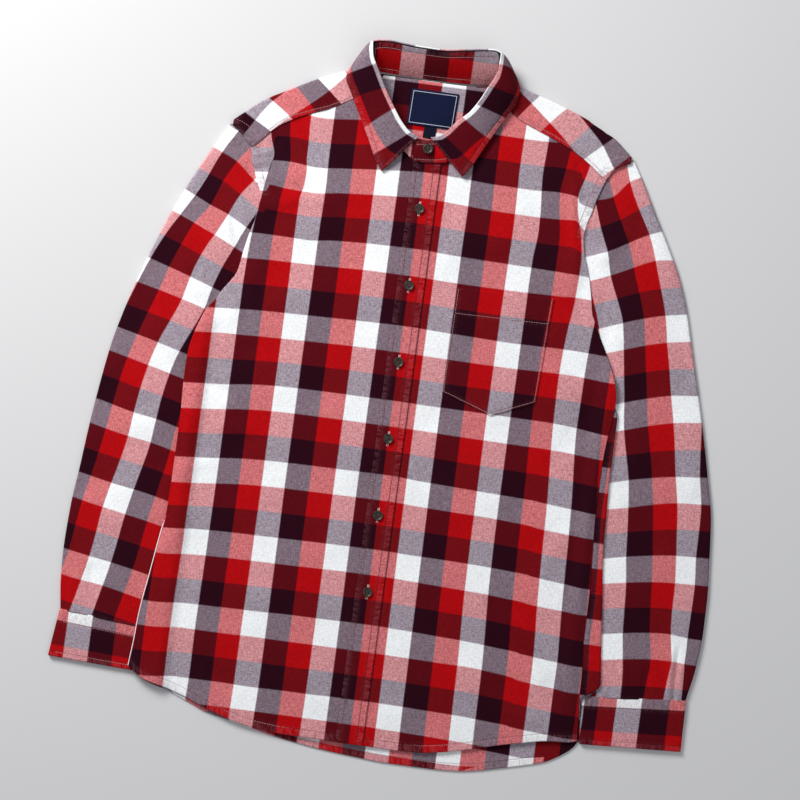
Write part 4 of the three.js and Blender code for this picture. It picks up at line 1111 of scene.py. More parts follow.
class Tailor:
    """Turns surfaces into finished cloth objects in the part's frame."""

    def __init__(self, wardrobe: Wardrobe) -> None:
        """Starts with the finishes and nothing laid out."""
        self.wardrobe = wardrobe
        self.laid = {}

    @staticmethod
    def metres(points: np.ndarray) -> np.ndarray:
        """Moves plan millimetres to the part's frame in metres.

        Args:
            points: places in the plan, with their heights.

        Returns:
            The same places in the part's frame.
        """
        moved = np.array(points, float)
        moved[..., 0] -= MIDDLE[0]
        moved[..., 1] -= MIDDLE[1]
        return moved * MM

    def mesh(self, name: str, points: np.ndarray, faces: np.ndarray, finish: bpy.types.Material,
             cells: Optional[np.ndarray] = None, seams: Optional[np.ndarray] = None) -> bpy.types.Object:
        """Makes an object from points in the plan and faces that point out.

        Args:
            name: the object's name.
            points: places in plan millimetres.
            faces: corner numbers, four to a face.
            finish: its material.
            cells: the check's place at each point.
            seams: the place on the nearest seam at each point.

        Returns:
            The object, linked to the scene.
        """
        places = self.metres(points)
        corner = places[faces]
        volume = np.einsum("ij,ij->i", corner[:, 0], np.cross(corner[:, 1], corner[:, 2])).sum()
        volume += np.einsum("ij,ij->i", corner[:, 0], np.cross(corner[:, 2], corner[:, 3])).sum()
        if volume < 0:
            faces = faces[:, ::-1]
        made = bpy.data.meshes.new(name)
        made.vertices.add(len(places))
        made.vertices.foreach_set("co", places.ravel())
        made.loops.add(faces.size)
        made.loops.foreach_set("vertex_index", faces.ravel())
        made.polygons.add(len(faces))
        made.polygons.foreach_set("loop_start", np.arange(0, faces.size, 4))
        made.polygons.foreach_set("use_smooth", np.ones(len(faces), bool))
        for layer_name, values in (("cells", cells), ("seam", seams)):
            if values is not None:
                layer = made.uv_layers.new(name=layer_name)
                layer.data.foreach_set("uv", values[faces.ravel()].ravel())
        made.materials.append(finish)
        made.update(calc_edges=True)
        made.validate()
        obj = bpy.data.objects.new(name, made)
        bpy.context.scene.collection.objects.link(obj)
        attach(obj, "root")
        log.info("%s: %d faces", name, len(faces))
        return obj

    def cloth(self, name: str, surface: Surface, wall: float,
              finish: Optional[bpy.types.Material] = None) -> bpy.types.Object:
        """Makes a closed wall round a surface, with a rounded edge.

        Args:
            name: the object's name, which is also the name of the frame's node it stands for.
            surface: the middle of the cloth.
            wall: its thickness in millimetres.
            finish: its material, which is the flannel if none is named.

        Returns:
            The object.
        """
        rows, columns = surface.points.shape[:2]
        middle, normal = surface.points, surface.normals() * wall / 2
        size = rows * columns
        grid = np.arange(size).reshape(rows, columns)
        ahead = np.roll(grid, -1, axis=1) if surface.closed else grid[:, 1:]
        here = grid if surface.closed else grid[:, :-1]
        quads = np.stack([here[:-1], ahead[:-1], ahead[1:], here[1:]], -1).reshape(-1, 4)
        faces = [quads, quads[:, ::-1] + size]
        points = [(middle + normal).reshape(-1, 3), (middle - normal).reshape(-1, 3)]
        cells = [surface.cells.reshape(-1, 2)] * 2
        seam_grid = surface.seams if surface.seams is not None else np.full(surface.cells.shape, 60.0)
        seams = [seam_grid.reshape(-1, 2)] * 2
        across, along = np.gradient(middle, axis=1), np.gradient(middle, axis=0)
        out = np.zeros_like(middle)
        out[0] -= self._unit(along[0])
        out[-1] += self._unit(along[-1])
        if surface.closed:
            loops = [grid[0][::-1], grid[-1]]
        else:
            out[:, 0] -= self._unit(across[:, 0])
            out[:, -1] += self._unit(across[:, -1])
            loops = [np.concatenate([grid[0, ::-1], grid[1:, 0], grid[-1, 1:], grid[-2:0:-1, -1]])]
        total = 2 * size
        for loop in loops:
            edge = (middle + self._unit(out) * wall * 0.36).reshape(-1, 3)[loop]
            rim = np.arange(total, total + len(loop))
            nxt, rim_next = np.roll(loop, -1), np.roll(rim, -1)
            faces.append(np.stack([loop, nxt, rim_next, rim], -1))
            faces.append(np.stack([rim, rim_next, nxt + size, loop + size], -1))
            points.append(edge)
            cells.append(surface.cells.reshape(-1, 2)[loop])
            seams.append(seam_grid.reshape(-1, 2)[loop])
            total += len(loop)
        obj = self.mesh(name, np.vstack(points), np.vstack(faces), finish or self.wardrobe.flannel,
                        np.vstack(cells), np.vstack(seams))
        self.laid[name] = surface
        obj.name = f"{name}_cloth"
        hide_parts(name)
        return obj

    @staticmethod
    def _unit(vectors: np.ndarray) -> np.ndarray:
        """Vectors made one long."""
        return vectors / np.maximum(np.linalg.norm(vectors, axis=-1, keepdims=True), 1e-9)


class Stitcher:
    """Sews rows of stitches that lie on a surface."""

    def __init__(self, tailor: Tailor) -> None:
        """Starts with the tailor whose pieces get sewn."""
        self.tailor = tailor
        self.stitch, self.faces = self._model()

    @staticmethod
    def _model() -> tuple:
        """Models one stitch, a slim lens of thread, and gives its corners and faces.

        Returns:
            The corners and the faces.
        """
        for obj in bpy.context.selected_objects:
            obj.select_set(False)
        bpy.ops.mesh.primitive_cylinder_add(vertices=5, radius=0.5, depth=1.0, end_fill_type="NGON")
        obj = bpy.context.object
        bpy.ops.object.mode_set(mode="EDIT")
        bpy.ops.mesh.select_all(action="SELECT")
        bpy.ops.transform.rotate(value=math.pi / 2, orient_axis="Y", center_override=(0, 0, 0))
        bpy.ops.mesh.select_all(action="DESELECT")
        bpy.ops.object.mode_set(mode="OBJECT")
        corners = np.array([v.co for v in obj.data.vertices])
        left = corners[corners[:, 0] < 0]
        bpy.data.objects.remove(obj, do_unlink=True)
        order = np.argsort(np.arctan2(left[:, 2], left[:, 1]))
        ring = left[order][:, 1:]
        rows = []
        for place, size in ((-0.5, 0.35), (-0.25, 1.0), (0.25, 1.0), (0.5, 0.35)):
            rows.append(np.column_stack([np.full(5, place), ring * size]))
        points = np.vstack(rows)
        faces = []
        for row in range(3):
            for i in range(5):
                j = (i + 1) % 5
                faces.append((row * 5 + i, row * 5 + j, row * 5 + 5 + j, row * 5 + 5 + i))
        faces += [(4, 3, 2, 1), (4, 1, 0, 0), (15, 16, 17, 18), (15, 18, 19, 19)]
        return points, np.array(faces)

    def sew(self, name: str, lines: Sequence[np.ndarray], thread: bpy.types.Material, pitch: float = 2.9,
            long: float = 2.1, thick: float = 0.55) -> bpy.types.Object:
        """Sews rows of stitches and joins them into one object.

        Args:
            name: the object's name.
            lines: each row's places in plan millimetres, already on the cloth's outer face.
            thread: its material.
            pitch: distance from stitch to stitch.
            long: a stitch's length.
            thick: its thickness.

        Returns:
            The object.
        """
        points, faces = [], []
        shape = self.stitch * (long, thick, thick * 0.8)
        for line in lines:
            steps = np.linalg.norm(np.diff(line, axis=0), axis=1)
            run = np.concatenate([[0], np.cumsum(steps)])
            count = max(1, int(run[-1] / pitch))
            for i in range(count):
                at = (i + 0.5) * run[-1] / count
                start, end = (np.array([np.interp(at + d, run, line[:, k]) for k in range(3)])
                              for d in (-long / 2, long / 2))
                way = (end - start) / max(np.linalg.norm(end - start), 1e-6)
                side = np.cross((0, 0, 1), way)
                side = side / max(np.linalg.norm(side), 1e-6)
                up = np.cross(way, side)
                middle = (start + end) / 2
                placed = middle + shape[:, :1] * way + shape[:, 1:2] * side + shape[:, 2:] * up
                faces.append(self.faces + 20 * len(points))
                points.append(placed)
        obj = self.tailor.mesh(name, np.vstack(points), np.vstack(faces), thread)
        return obj


def on_height(xy: Rows, height: Callable, lift: float, step: float = 1.0) -> np.ndarray:
    """Lays a line on a surface.

    Args:
        xy: the line's corners in the plan.
        height: gives a height for places x, y.
        lift: how far over it the line lies.
        step: distance between the places that are read.

    Returns:
        Places along the line.
    """
    corners = np.array(xy, float)
    steps = np.linalg.norm(np.diff(corners, axis=0), axis=1)
    run = np.concatenate([[0], np.cumsum(steps)])
    at = np.linspace(0, run[-1], max(2, int(run[-1] / step)))
    x, y = (np.interp(at, run, corners[:, k]) for k in (0, 1))
    return np.column_stack([x, y, height(x, y) + lift])


def filled(west: Callable, east: Callable, south: Callable, north: Callable, a: np.ndarray,
           b: np.ndarray) -> tuple:
    """Fills an area evenly from its four edges, each a curve that gives x and y for shares 0 to 1.

    Returns:
        Grids of x and y, a row for each b and a column for each a.

    Args:
        west, east: edges over shares of the way up.
        south, north: edges over shares of the way across.
        a, b: shares across and up.
    """
    aa, bb = np.meshgrid(a, b)
    west_x, west_y = (np.broadcast_to(np.asarray(c)[:, None], aa.shape) for c in west(b))
    east_x, east_y = (np.broadcast_to(np.asarray(c)[:, None], aa.shape) for c in east(b))
    south_x, south_y = (np.broadcast_to(np.asarray(c)[None], aa.shape) for c in south(a))
    north_x, north_y = (np.broadcast_to(np.asarray(c)[None], aa.shape) for c in north(a))
    grids = []
    for w, e, s, n in ((west_x, east_x, south_x, north_x), (west_y, east_y, south_y, north_y)):
        corners = mix(mix(s[0, 0], s[0, -1], aa), mix(n[0, 0], n[0, -1], aa), bb)
        grids.append(mix(w, e, aa) + mix(s, n, bb) - corners)
    return tuple(grids)


def nearest(*seams: tuple) -> np.ndarray:
    """Picks the closest seam at each place.

    Args:
        seams: for each seam, the places along it and the distances from its stitches.

    Returns:
        Place along and distance of the closest one, stacked on a last axis.
    """
    shape = np.broadcast_shapes(*(np.shape(part) for seam in seams for part in seam))
    along, off = np.full(shape, 60.0), np.full(shape, 60.0)
    for place, distance in seams:
        closer = np.abs(distance) < np.abs(off)
        along, off = np.where(closer, place, along), np.where(closer, distance, off)
    return np.stack([along, np.clip(off, -15, 15)], axis=-1)


@dataclass
class Front:
    """One front of the body, from the closing to the side; only the right front has its side folded under."""

    side: Side
    grid: float = 2.5
    curl: float = 0.95  # radius of the fold at the side

    def surface(self) -> Surface:
        """Lays out the front's middle.

        Returns:
            The surface.
        """
        right = self.side is Side.WEARER_RIGHT
        edge = RIGHT_SIDE_EDGE if right else LEFT_SIDE_EDGE
        top = RIGHT_FRONT_TOP if right else LEFT_FRONT_TOP
        inner = FRONTS_MEET - AIR if right else FRONTS_MEET + AIR
        low, high = edge[-1][0], edge[0][0]
        a, b = spread(self.grid, 268), spread(self.grid * 0.95, 680)
        inner_low, inner_high = smooth_at(FRONT_HEM, inner), smooth_at(top, inner)
        x, y = filled(
            lambda t: (np.full(len(t), inner), mix(inner_low, inner_high, t)),
            lambda t: (smooth_at(edge, mix(low, high, t)), mix(low, high, t)),
            lambda s: (mix(inner, edge[-1][1], s), smooth_at(FRONT_HEM, mix(inner, edge[-1][1], s))),
            lambda s: (mix(inner, edge[0][1], s), smooth_at(top, mix(inner, edge[0][1], s))),
            a, b,
        )
        z = front_height(x, y)
        points = np.stack([x, y, z], -1)
        cells = FRONT_MAP.at(x, y)
        inside = np.abs(smooth_at(edge, y)) - np.abs(x)
        from_seam = np.where(np.abs(x) > 86, smooth_at(top, x) - y, 60)
        seams = nearest(
            (x, y - smooth_at(FRONT_HEM, x) - HEM_ROW),
            (x, from_seam),
            (y, np.where((y > 214) & (from_seam > -1), inside - 8.5, 60)),
            # Painted shadow: a line without stitches just right of the band, which the material darkens as
            # the band's shadow on the left front.
            (y, np.where(x > 4.3, x - PLACKET_RIGHT - 1, 60)),
        )
        if right:
            turn = []
            shade = []
            for angle in (30, 60, 90, 125, 160):
                bent = points[:, -1].copy()
                round_ = math.radians(angle)
                fade = ease((40 - bent[:, 1]) / 30)
                bent[:, 0] -= self.curl * math.sin(round_) * fade + (1 - fade) * angle / 400
                bent[:, 2] -= self.curl * (1 - math.cos(round_)) * fade + (1 - fade) * angle / 120
                turn.append(bent)
                # Below y -168 the turned edge takes the white cells' colour instead of its own cells.
                pale = ease((-168 - bent[:, 1:2]) / 12) * (angle > 20)
                shade.append(mix(cells[:, -1] - (self.curl * round_ / CELL, 0), np.array((0.5, 0.5)), pale))
            points = np.concatenate([points, np.stack(turn, 1)], axis=1)
            cells = np.concatenate([cells, np.stack(shade, 1)], axis=1)
            seams = np.concatenate([seams, np.repeat(seams[:, -1:], len(turn), axis=1)], axis=1)
        return Surface(points, cells, seams=seams)

    def build(self, tailor: Tailor) -> bpy.types.Object:
        """Makes the front."""
        name = "front_right" if self.side is Side.WEARER_RIGHT else "front_left"
        return tailor.cloth(name, self.surface(), CLOTH)


@dataclass
class Back:
    """The back panel, whose left side turns up over the front's edge as a narrow felled strip."""

    grid: float = 4.2

    def surface(self) -> Surface:
        """Lays out the back's middle.

        Returns:
            The surface.
        """
        lowest = BACK_HEM[0][1], BACK_HEM[-1][1]
        top = BACK_YOKE_SEAM - AIR
        a, b = spread(self.grid, 520), spread(self.grid, 650)

        def wearer_right(y: Values) -> np.ndarray:
            """The back's edge on the wearer's right."""
            return smooth_at(RIGHT_SIDE_EDGE, y) + smooth_at(BACK_INSIDE, y) + 0.6

        def wearer_left(y: Values) -> np.ndarray:
            """The back's edge on the wearer's left."""
            return smooth_at(LEFT_SIDE_EDGE, y, 2) - np.maximum(0, smooth_at(BACK_INSIDE, y) - 3)

        x, y = filled(
            lambda t: (wearer_right(mix(lowest[0], top, t)), mix(lowest[0], top, t)),
            lambda t: (wearer_left(mix(lowest[1], top, t)), mix(lowest[1], top, t)),
            lambda s: (mix(BACK_HEM[0][0], BACK_HEM[-1][0], s),
                       smooth_at(BACK_HEM, mix(BACK_HEM[0][0], BACK_HEM[-1][0], s))),
            lambda s: (mix(wearer_right(top), wearer_left(top), s), np.full(len(s), top)),
            a, b,
        )
        over_hem = y - smooth_at(BACK_HEM, x)
        hem = 0.35 * (1 - ease((over_hem - 7.5) / 1.5))
        hem = hem + 0.25 * PUCKER.at(x, 0 * y) * np.exp(-((over_hem - HEM_ROW) / 5) ** 2)
        z = LOW + body_lift(x, y) + np.maximum(0, hem)
        points = np.stack([x, y, z], -1)
        hem_line = smooth_at(BACK_HEM, x)
        unfolded = np.where((over_hem < 8) & (x < 225), 2 * hem_line - y, y)
        first_row = np.interp(x, (-200, 0, 45, 110, 196, 260), (-376, -385, -386, -390, -396, -398))
        row = (first_row - unfolded) / 29.5
        column = np.interp(-x, (-268, -240, -211, -182, -155, -126, -98, -70, -43, -14.5, 12, 40, 66, 93, 120,
                                147, 174, 202, 258),
                           (-8, -7, -6, -5, -4, -3, -2, -1, 0, 1, 2, 3, 4, 5, 6, 7, 8, 9, 11))
        cells = np.stack([column, row], -1)
        seams = nearest((x, np.where(x < 215, over_hem - HEM_ROW, 60)))
        edge_y = points[:, -1, 1]
        front = smooth_at(LEFT_SIDE_EDGE, edge_y)
        width = np.maximum(0.0, points[:, -1, 0] - front) * (edge_y < 20)
        turn, shade, pressed = [], [], []
        for angle, inward in ((40, 0), (90, 0), (150, 0), (180, 0.1), (180, 0.3), (180, 0.5), (180, 0.7),
                              (180, 1.0)):
            bent = points[:, -1].copy()
            round_ = math.radians(angle)
            fade = ease(width / 4)
            bent[:, 0] += fade * (0.75 * math.sin(round_) - inward * (width - 0.6))
            bent[:, 2] += mix(angle / 400, 0.66 * (1 - math.cos(round_)), fade)
            bent[:, 2] += fade * 0.16 * PUCKER.at(edge_y * 0.9, inward * 9.0)
            turn.append(bent)
            column = 2 + (bent[:, 0] - front - 7.5) / CELL
            row = StraightMap(0, -46, CELL, -29.6, 0).at(bent[:, 0], edge_y)[:, 1]
            shade.append(np.column_stack([column, row]))
            # The line 6.5 mm in from the front's edge is darkened by the material as painted shade in the
            # groove along the strip.
            pressed.append(np.column_stack([edge_y, np.abs(6.5 - (bent[:, 0] - front))]))
        points = np.concatenate([points, np.stack(turn, 1)], axis=1)
        cells = np.concatenate([cells, np.stack(shade, 1)], axis=1)
        seams = np.concatenate([seams, np.clip(np.stack(pressed, 1), -1e3, 15)], axis=1)
        return Surface(points, cells, seams=seams)

    def build(self, tailor: Tailor) -> bpy.types.Object:
        """Makes the back."""
        return tailor.cloth("back_panel", self.surface(), CLOTH)


@dataclass
class Yoke:
    """The yoke over the shoulders with its lining, the neck label and the size tab."""

    grid: float = 3.2
    turn: float = (YOKE_TOP - LOW) / 2

    def height(self, x: Values, y: Values) -> np.ndarray:
        """Height of the upper layer's middle.

        Args:
            x, y: places in the plan.

        Returns:
            The height at each place, in millimetres.
        """
        x, y = np.asarray(x, float), np.asarray(y, float)
        soft = 0.5 * DRAPE.at(x + 30, y) + 0.4 * SOFT.at(x, y + 50) + 0.1 * SMALL.at(x, y)
        seam = np.where(x < 0, smooth_at(RIGHT_FRONT_TOP, x), smooth_at(LEFT_FRONT_TOP, x))
        over = np.abs(y - seam)
        ridge = 0.35 * np.exp(-((over - 3) / 2.6) ** 2) + 0.1 * PUCKER.at(x, y) * np.exp(-((over / 7) ** 2))
        return YOKE_TOP + np.clip(soft, -0.35, 1.2) + ridge

    def surface(self) -> Surface:
        """Lays out the yoke: low layer, turn over the shoulder and upper layer.

        Returns:
            The surface.
        """
        a = np.concatenate([spread(self.grid, 150) * 0.378, 0.378 + spread(self.grid * 2, 160)[1:] * 0.23,
                            0.608 + spread(self.grid, 150)[1:] * 0.392])
        keyed = [(i, *row) for i, row in enumerate(YOKE_SECTIONS)]
        place = a * (len(YOKE_SECTIONS) - 1)
        x, low, fold, over = (np.interp(place, range(len(keyed)), [row[k] for row in keyed])
                              for k in (1, 2, 3, 4))
        fold = smooth_at(keyed, place, 3)
        neck = np.interp(place, range(len(keyed)), [row[5] for row in keyed])
        bend = np.where(neck > 0, fold - 3, fold - CLOTH / 2 - self.turn)
        rows_low, rows_turn = np.linspace(0, 1, 12), np.linspace(0, 1, 14)[1:]
        rows_up = spread(self.grid, 50)[1:]
        points = []
        for share in rows_low:
            points.append(np.column_stack([x, mix(low, bend, share), np.full(len(x), LOW)]))
        for share in rows_turn:
            bent = math.pi * share
            y = np.where(neck > 0, bend + 1.5 * share, bend + math.sin(bent) * self.turn)
            z = np.where(neck > 0, LOW, LOW + self.turn * (1 - math.cos(bent)))
            points.append(np.column_stack([x, y, z]))
        for share in rows_up:
            y = np.where(neck > 0, bend + 1.5 + 1.5 * share, mix(bend, over, share))
            z = np.where(neck > 0, LOW, mix(YOKE_TOP, self.height(x, y), ease(share * 4)))
            points.append(np.column_stack([x, y, z]))
        grid = np.stack(points)
        left = CrossingMap(LEFT_YOKE_CROSSINGS, 0.01).at(grid[..., 0], grid[..., 1])
        right = CrossingMap(RIGHT_YOKE_CROSSINGS, 0.01).at(grid[..., 0], grid[..., 1])
        cells = np.where(grid[..., :1] > 0, left, right)
        gx, gy = grid[..., 0], grid[..., 1]
        seam = np.where(gx < 0, smooth_at(RIGHT_FRONT_TOP, gx), smooth_at(LEFT_FRONT_TOP, gx))
        upper = grid[..., 2] > 3.2
        tip = np.where(gx < 0, np.interp(gy, (270, 290, 300), (-210, -238, -240)),
                       np.interp(gy, (287, 300, 312), (204, 212, 236)))
        seams = nearest(
            (gx, np.where(upper & (np.abs(gx) > 84) & (np.abs(gx) < 212), gy - seam - 2.2, 60)),
            (gy, np.where(upper & (np.abs(gx) > 190), (np.abs(tip) - np.abs(gx)) * 0.8 - 8, 60)),
        )
        return Surface(grid, cells, seams=seams)

    def lining(self) -> Surface:
        """Lays out the lining, whose inside shows in the neck.

        Returns:
            The surface.
        """
        a, b = spread(3.4, 384), spread(3.4, 100)
        x = mix(-192.0, 192.0, a)
        top = np.interp(x, [row[0] for row in LINING_TOP], [row[1] for row in LINING_TOP])
        xx, share = np.meshgrid(x, b)
        y = mix(BACK_YOKE_SEAM + 1, top[None], share)
        z = LOW + CLOTH + AIR + 0.25 * np.maximum(0, SOFT.at(xx, y)) + 0 * xx
        return Surface(np.stack([xx, y, z], -1), StraightMap(0, 370, CELL, 27.5).at(xx, y))

    @staticmethod
    def label(west: float, east: float, south: float, north: float, bow: float) -> Surface:
        """Lays out a small label, with millimetres from its nearer edges as its cells.

        Args:
            west, east, south, north: its edges in the plan.
            bow: how far its middle stands up.

        Returns:
            The surface.
        """
        a, b = np.linspace(0, 1, 28), np.linspace(0, 1, 22)
        aa, bb = np.meshgrid(a, b)
        x = mix(west + 1.0 * bb, east - 1.6 * (1 - bb), aa)
        y = mix(south + 0.0 * aa, north, bb)
        z = LOW + 2 * CLOTH + 2 * AIR + 0.05 + bow * np.sin(math.pi * aa) * (1 - bb) + 0.1 * SMALL.at(x, y)
        inset = np.stack([np.minimum(aa, 1 - aa) * (east - west),
                          np.minimum(bb, 1 - bb) * (north - south)], -1)
        return Surface(np.stack([x, y, z], -1), inset)

    def build(self, tailor: Tailor) -> dict:
        """Makes the yoke, its lining, the label and the tab, by name.

        Args:
            tailor: makes the meshes.

        Returns:
            The objects by name.
        """
        w = tailor.wardrobe
        return {
            "yoke": tailor.cloth("yoke", self.surface(), CLOTH),
            "yoke_lining": tailor.cloth("yoke_lining", self.lining(), CLOTH),
            "neck_label": tailor.cloth("neck_label", self.label(-35.6, 20.8, 321.0, 362.8, 0.5), 0.7,
                                       w.label),
            "size_tab": tailor.cloth("size_tab", self.label(-15, 0, 308, 321.6, 0.3), 0.6, w.tab),
        }


@dataclass
class Sleeve:
    """A sleeve as a flattened tube with its cuff."""

    side: Side
    crown: float = 1.2
    creases: tuple = ()

    @property
    def sections(self) -> Rows:
        """The sleeve's sections from the armhole to the cuff."""
        return RIGHT_SLEEVE if self.side is Side.WEARER_RIGHT else LEFT_SLEEVE

    def armhole(self) -> np.ndarray:
        """The armhole seam from the shoulder tip to the underarm, tucked a little under the body.

        Returns:
            Places in the plan.
        """
        right = self.side is Side.WEARER_RIGHT
        edge = RIGHT_SIDE_EDGE if right else LEFT_SIDE_EDGE
        yoke = RIGHT_YOKE_ARMHOLE if right else LEFT_YOKE_ARMHOLE
        ys = np.arange(edge[0][0], 106, -5.0)
        seam = list(yoke) + [(float(smooth_at(edge, y)), y) for y in ys]
        tucked = [(x - math.copysign(TUCK_UNDER, x) * min(1, i), y) for i, (x, y) in enumerate(seam)]
        return np.array(tucked + list(RIGHT_UNDERARM if right else LEFT_UNDERARM))

    @staticmethod
    def ring(count: int, bends: int) -> np.ndarray:
        """Shares round a flattened tube, closer where it turns."""
        flat, bend = np.arange(count) / count * 0.4, 0.4 + np.arange(bends) / bends * 0.1
        return np.concatenate([flat, bend, flat + 0.5, bend + 0.5])

    @staticmethod
    def flat_ring(a: np.ndarray, width: np.ndarray, low: float, high: np.ndarray, crown: np.ndarray) -> tuple:
        """Place round a flattened ring: distance from the outer fold and height.

        Args:
            a: shares round the ring.
            width: its width when flat.
            low, high: heights of its two layers.
            crown: how far the upper layer is domed.

        Returns:
            Distance and height at each place.
        """
        turn = (high - low) / 2
        flat = width - 2 * turn
        over = crown * np.sin(np.pi * np.clip(a / 0.4, 0, 1))
        first = (np.pi * (a - 0.4)) / 0.1
        second = (np.pi * (a - 0.9)) / 0.1
        across = np.where(a < 0.4, turn + flat * (1 - a / 0.4), np.where(
            a < 0.5, turn * (1 - np.sin(first)), np.where(
                a < 0.9, turn + flat * ((a - 0.5) / 0.4), width - turn + turn * np.sin(second))))
        height = np.where(a < 0.4, high + over, np.where(
            a < 0.5, low + turn * (1 + np.cos(first)), np.where(
                a < 0.9, low, low + turn * (1 - np.cos(second)))))
        return across, height

    def surface(self) -> Surface:
        """Lays out the sleeve's middle.

        Returns:
            The surface.
        """
        a, t = self.ring(44, 7), spread(2.9, 620)
        ox, oy, ix, iy, keep, top = (c[:, None] for c in sections_at(self.sections, t))
        aa = np.broadcast_to(a[None], (len(t), len(a)))
        width = np.hypot(ox - ix, oy - iy)
        across, height = self.flat_ring(aa, width, LOW, top, self.crown * (1 - keep))
        share = across / width
        tuck = (SLEEVE_TUCK - LOW) / (top - LOW)
        squeeze = mix(1, tuck, np.minimum(1, keep * 1.3) * ease(share * 2.4 - 1))
        seam = self.armhole()
        run = np.concatenate([[0], np.cumsum(np.linalg.norm(np.diff(seam, axis=0), axis=1))])
        run /= run[-1]
        arm_x, arm_y = np.interp(share, run, seam[:, 0]), np.interp(share, run, seam[:, 1])
        x = mix(ox, ix, share) + keep * (arm_x - mix(seam[0, 0], seam[-1, 0], share))
        y = mix(oy, iy, share) + keep * (arm_y - mix(seam[0, 1], seam[-1, 1], share))
        upper = ease((height - LOW) / (top - LOW) * 2 - 1)
        flank = ease(np.minimum(share, 1 - share) * width / 7)
        soft = 1.1 * DRAPE.at(x, y) + 0.6 * SOFT.at(x, y) + 0.12 * SMALL.at(x, y)
        soft = soft + 1.9 * rise_of(self.creases, x, y)
        near_seam = ease((t[:, None] - 0.004) * 45)
        z = LOW + (height - LOW) * squeeze + upper * flank * near_seam * np.maximum(soft, -2.2)
        gather = 0.14 * PUCKER.at(x, y * 0.2) * np.exp(-((1 - t[:, None]) * 620 / 7) ** 2) * upper * flank
        z = z + gather
        crossings = RIGHT_SLEEVE_CROSSINGS if self.side is Side.WEARER_RIGHT else LEFT_SLEEVE_CROSSINGS
        seams = nearest((width * share, t[:, None] * 560 + 0 * x),
                        (width * share, (1 - t[:, None]) * 620 + 0 * x))
        return Surface(np.stack([x, y, z], -1), CrossingMap(crossings).at(x, y), closed=True, seams=seams)

    def cuff(self) -> Surface:
        """Lays out the cuff's middle.

        Returns:
            The surface.
        """
        right = self.side is Side.WEARER_RIGHT
        a, t = self.ring(44, 6), spread(2.2, 54)
        ox, oy, ix, iy = (mix(p, q, t)[:, None] for p, q in zip(*(RIGHT_CUFF if right else LEFT_CUFF)))
        aa = np.broadcast_to(a[None], (len(t), len(a)))
        width = np.hypot(ox - ix, oy - iy)
        top = SLEEVE_TOP + CLOTH / 2 - CUFF / 2 + 0 * ox
        across, height = self.flat_ring(aa, width, CUFF / 2, top, 0.3 + 0 * ox)
        share = across / width
        x, y = mix(ox, ix, share), mix(oy, iy, share)
        down = np.broadcast_to(t[:, None] * 54, x.shape)
        upper = ease((height - CUFF / 2) / (SLEEVE_TOP - 1.2) * 2 - 0.6)
        seams = -0.35 * np.exp(-((down - (13 if right else 12)) / 1.0) ** 2)
        seams = seams - 0.3 * np.exp(-((down - 48) / 1.0) ** 2)
        near = np.exp(-((down - 12) / 5) ** 2) + np.exp(-((down - 49) / 5) ** 2)
        wave = 0.24 * PUCKER.at(x, y * 0.2) * near
        z = height + upper * (seams + wave + 0.3 * SOFT.at(x, y) + 0.25)
        band = np.interp(down, (0, 13, 41, 54), (13 / CELL, 0, -1, -1.46)) if right else np.interp(
            down, (0, 10.5, 38, 54), (10.5 / CELL, 0, -1, -1.57))
        columns = ((-378, -1), (-350, 0), (-321.5, 1), (-293, 2), (-264, 3), (-236, 4)) if right else (
            (249, -2.4), (261, -2), (277, -1), (298, 0), (327, 1), (360, 2), (389, 3))
        column = np.interp(x, [c[0] for c in columns], [c[1] for c in columns])
        seams = nearest((x, down - (14 if right else 12)), (x, 49 - down))
        return Surface(np.stack([x, y, z], -1), np.stack([column, band], -1), closed=True, seams=seams)

    def build(self, tailor: Tailor) -> dict:
        """Makes the sleeve and its cuff, by name.

        Args:
            tailor: makes the meshes.

        Returns:
            The objects by name.
        """
        end = "right" if self.side is Side.WEARER_RIGHT else "left"
        return {
            f"sleeve_{end}": tailor.cloth(f"sleeve_{end}", self.surface(), CLOTH),
            f"cuff_{end}": tailor.cloth(f"cuff_{end}", self.cuff(), CUFF),
        }


RIGHT_SLEEVE_CREASES = (
    Crease(-233, 284, -312, 120, 2.4, 0.9, 6), Crease(-312, 126, -335, 66, 2.4, 0.8, 1),
    Crease(-240, 280, -318, 118, 4, -0.7, 6), Crease(-236, 276, -222, 262, 2.6, -0.9),
    Crease(-232, 262, -214, 246, 4, 0.8), Crease(-222, 190, -208, 150, 5, -1.0, 2),
    Crease(-250, 160, -214, 116, 7, 0.9, -4), Crease(-262, 120, -236, 78, 6, -0.9, 3),
    Crease(-300, 60, -262, 20, 10, 0.8, 4), Crease(-340, 0, -290, -30, 12, 0.7, 5),
    Crease(-320, -80, -264, -120, 12, -0.7, -5), Crease(-352, -160, -300, -190, 12, 0.7, 4),
    Crease(-300, -210, -272, -296, 8, 0.8, 4), Crease(-330, -240, -322, -300, 6, -0.8, 2),
    Crease(-350, -250, -346, -300, 6, 0.7, 1),
)
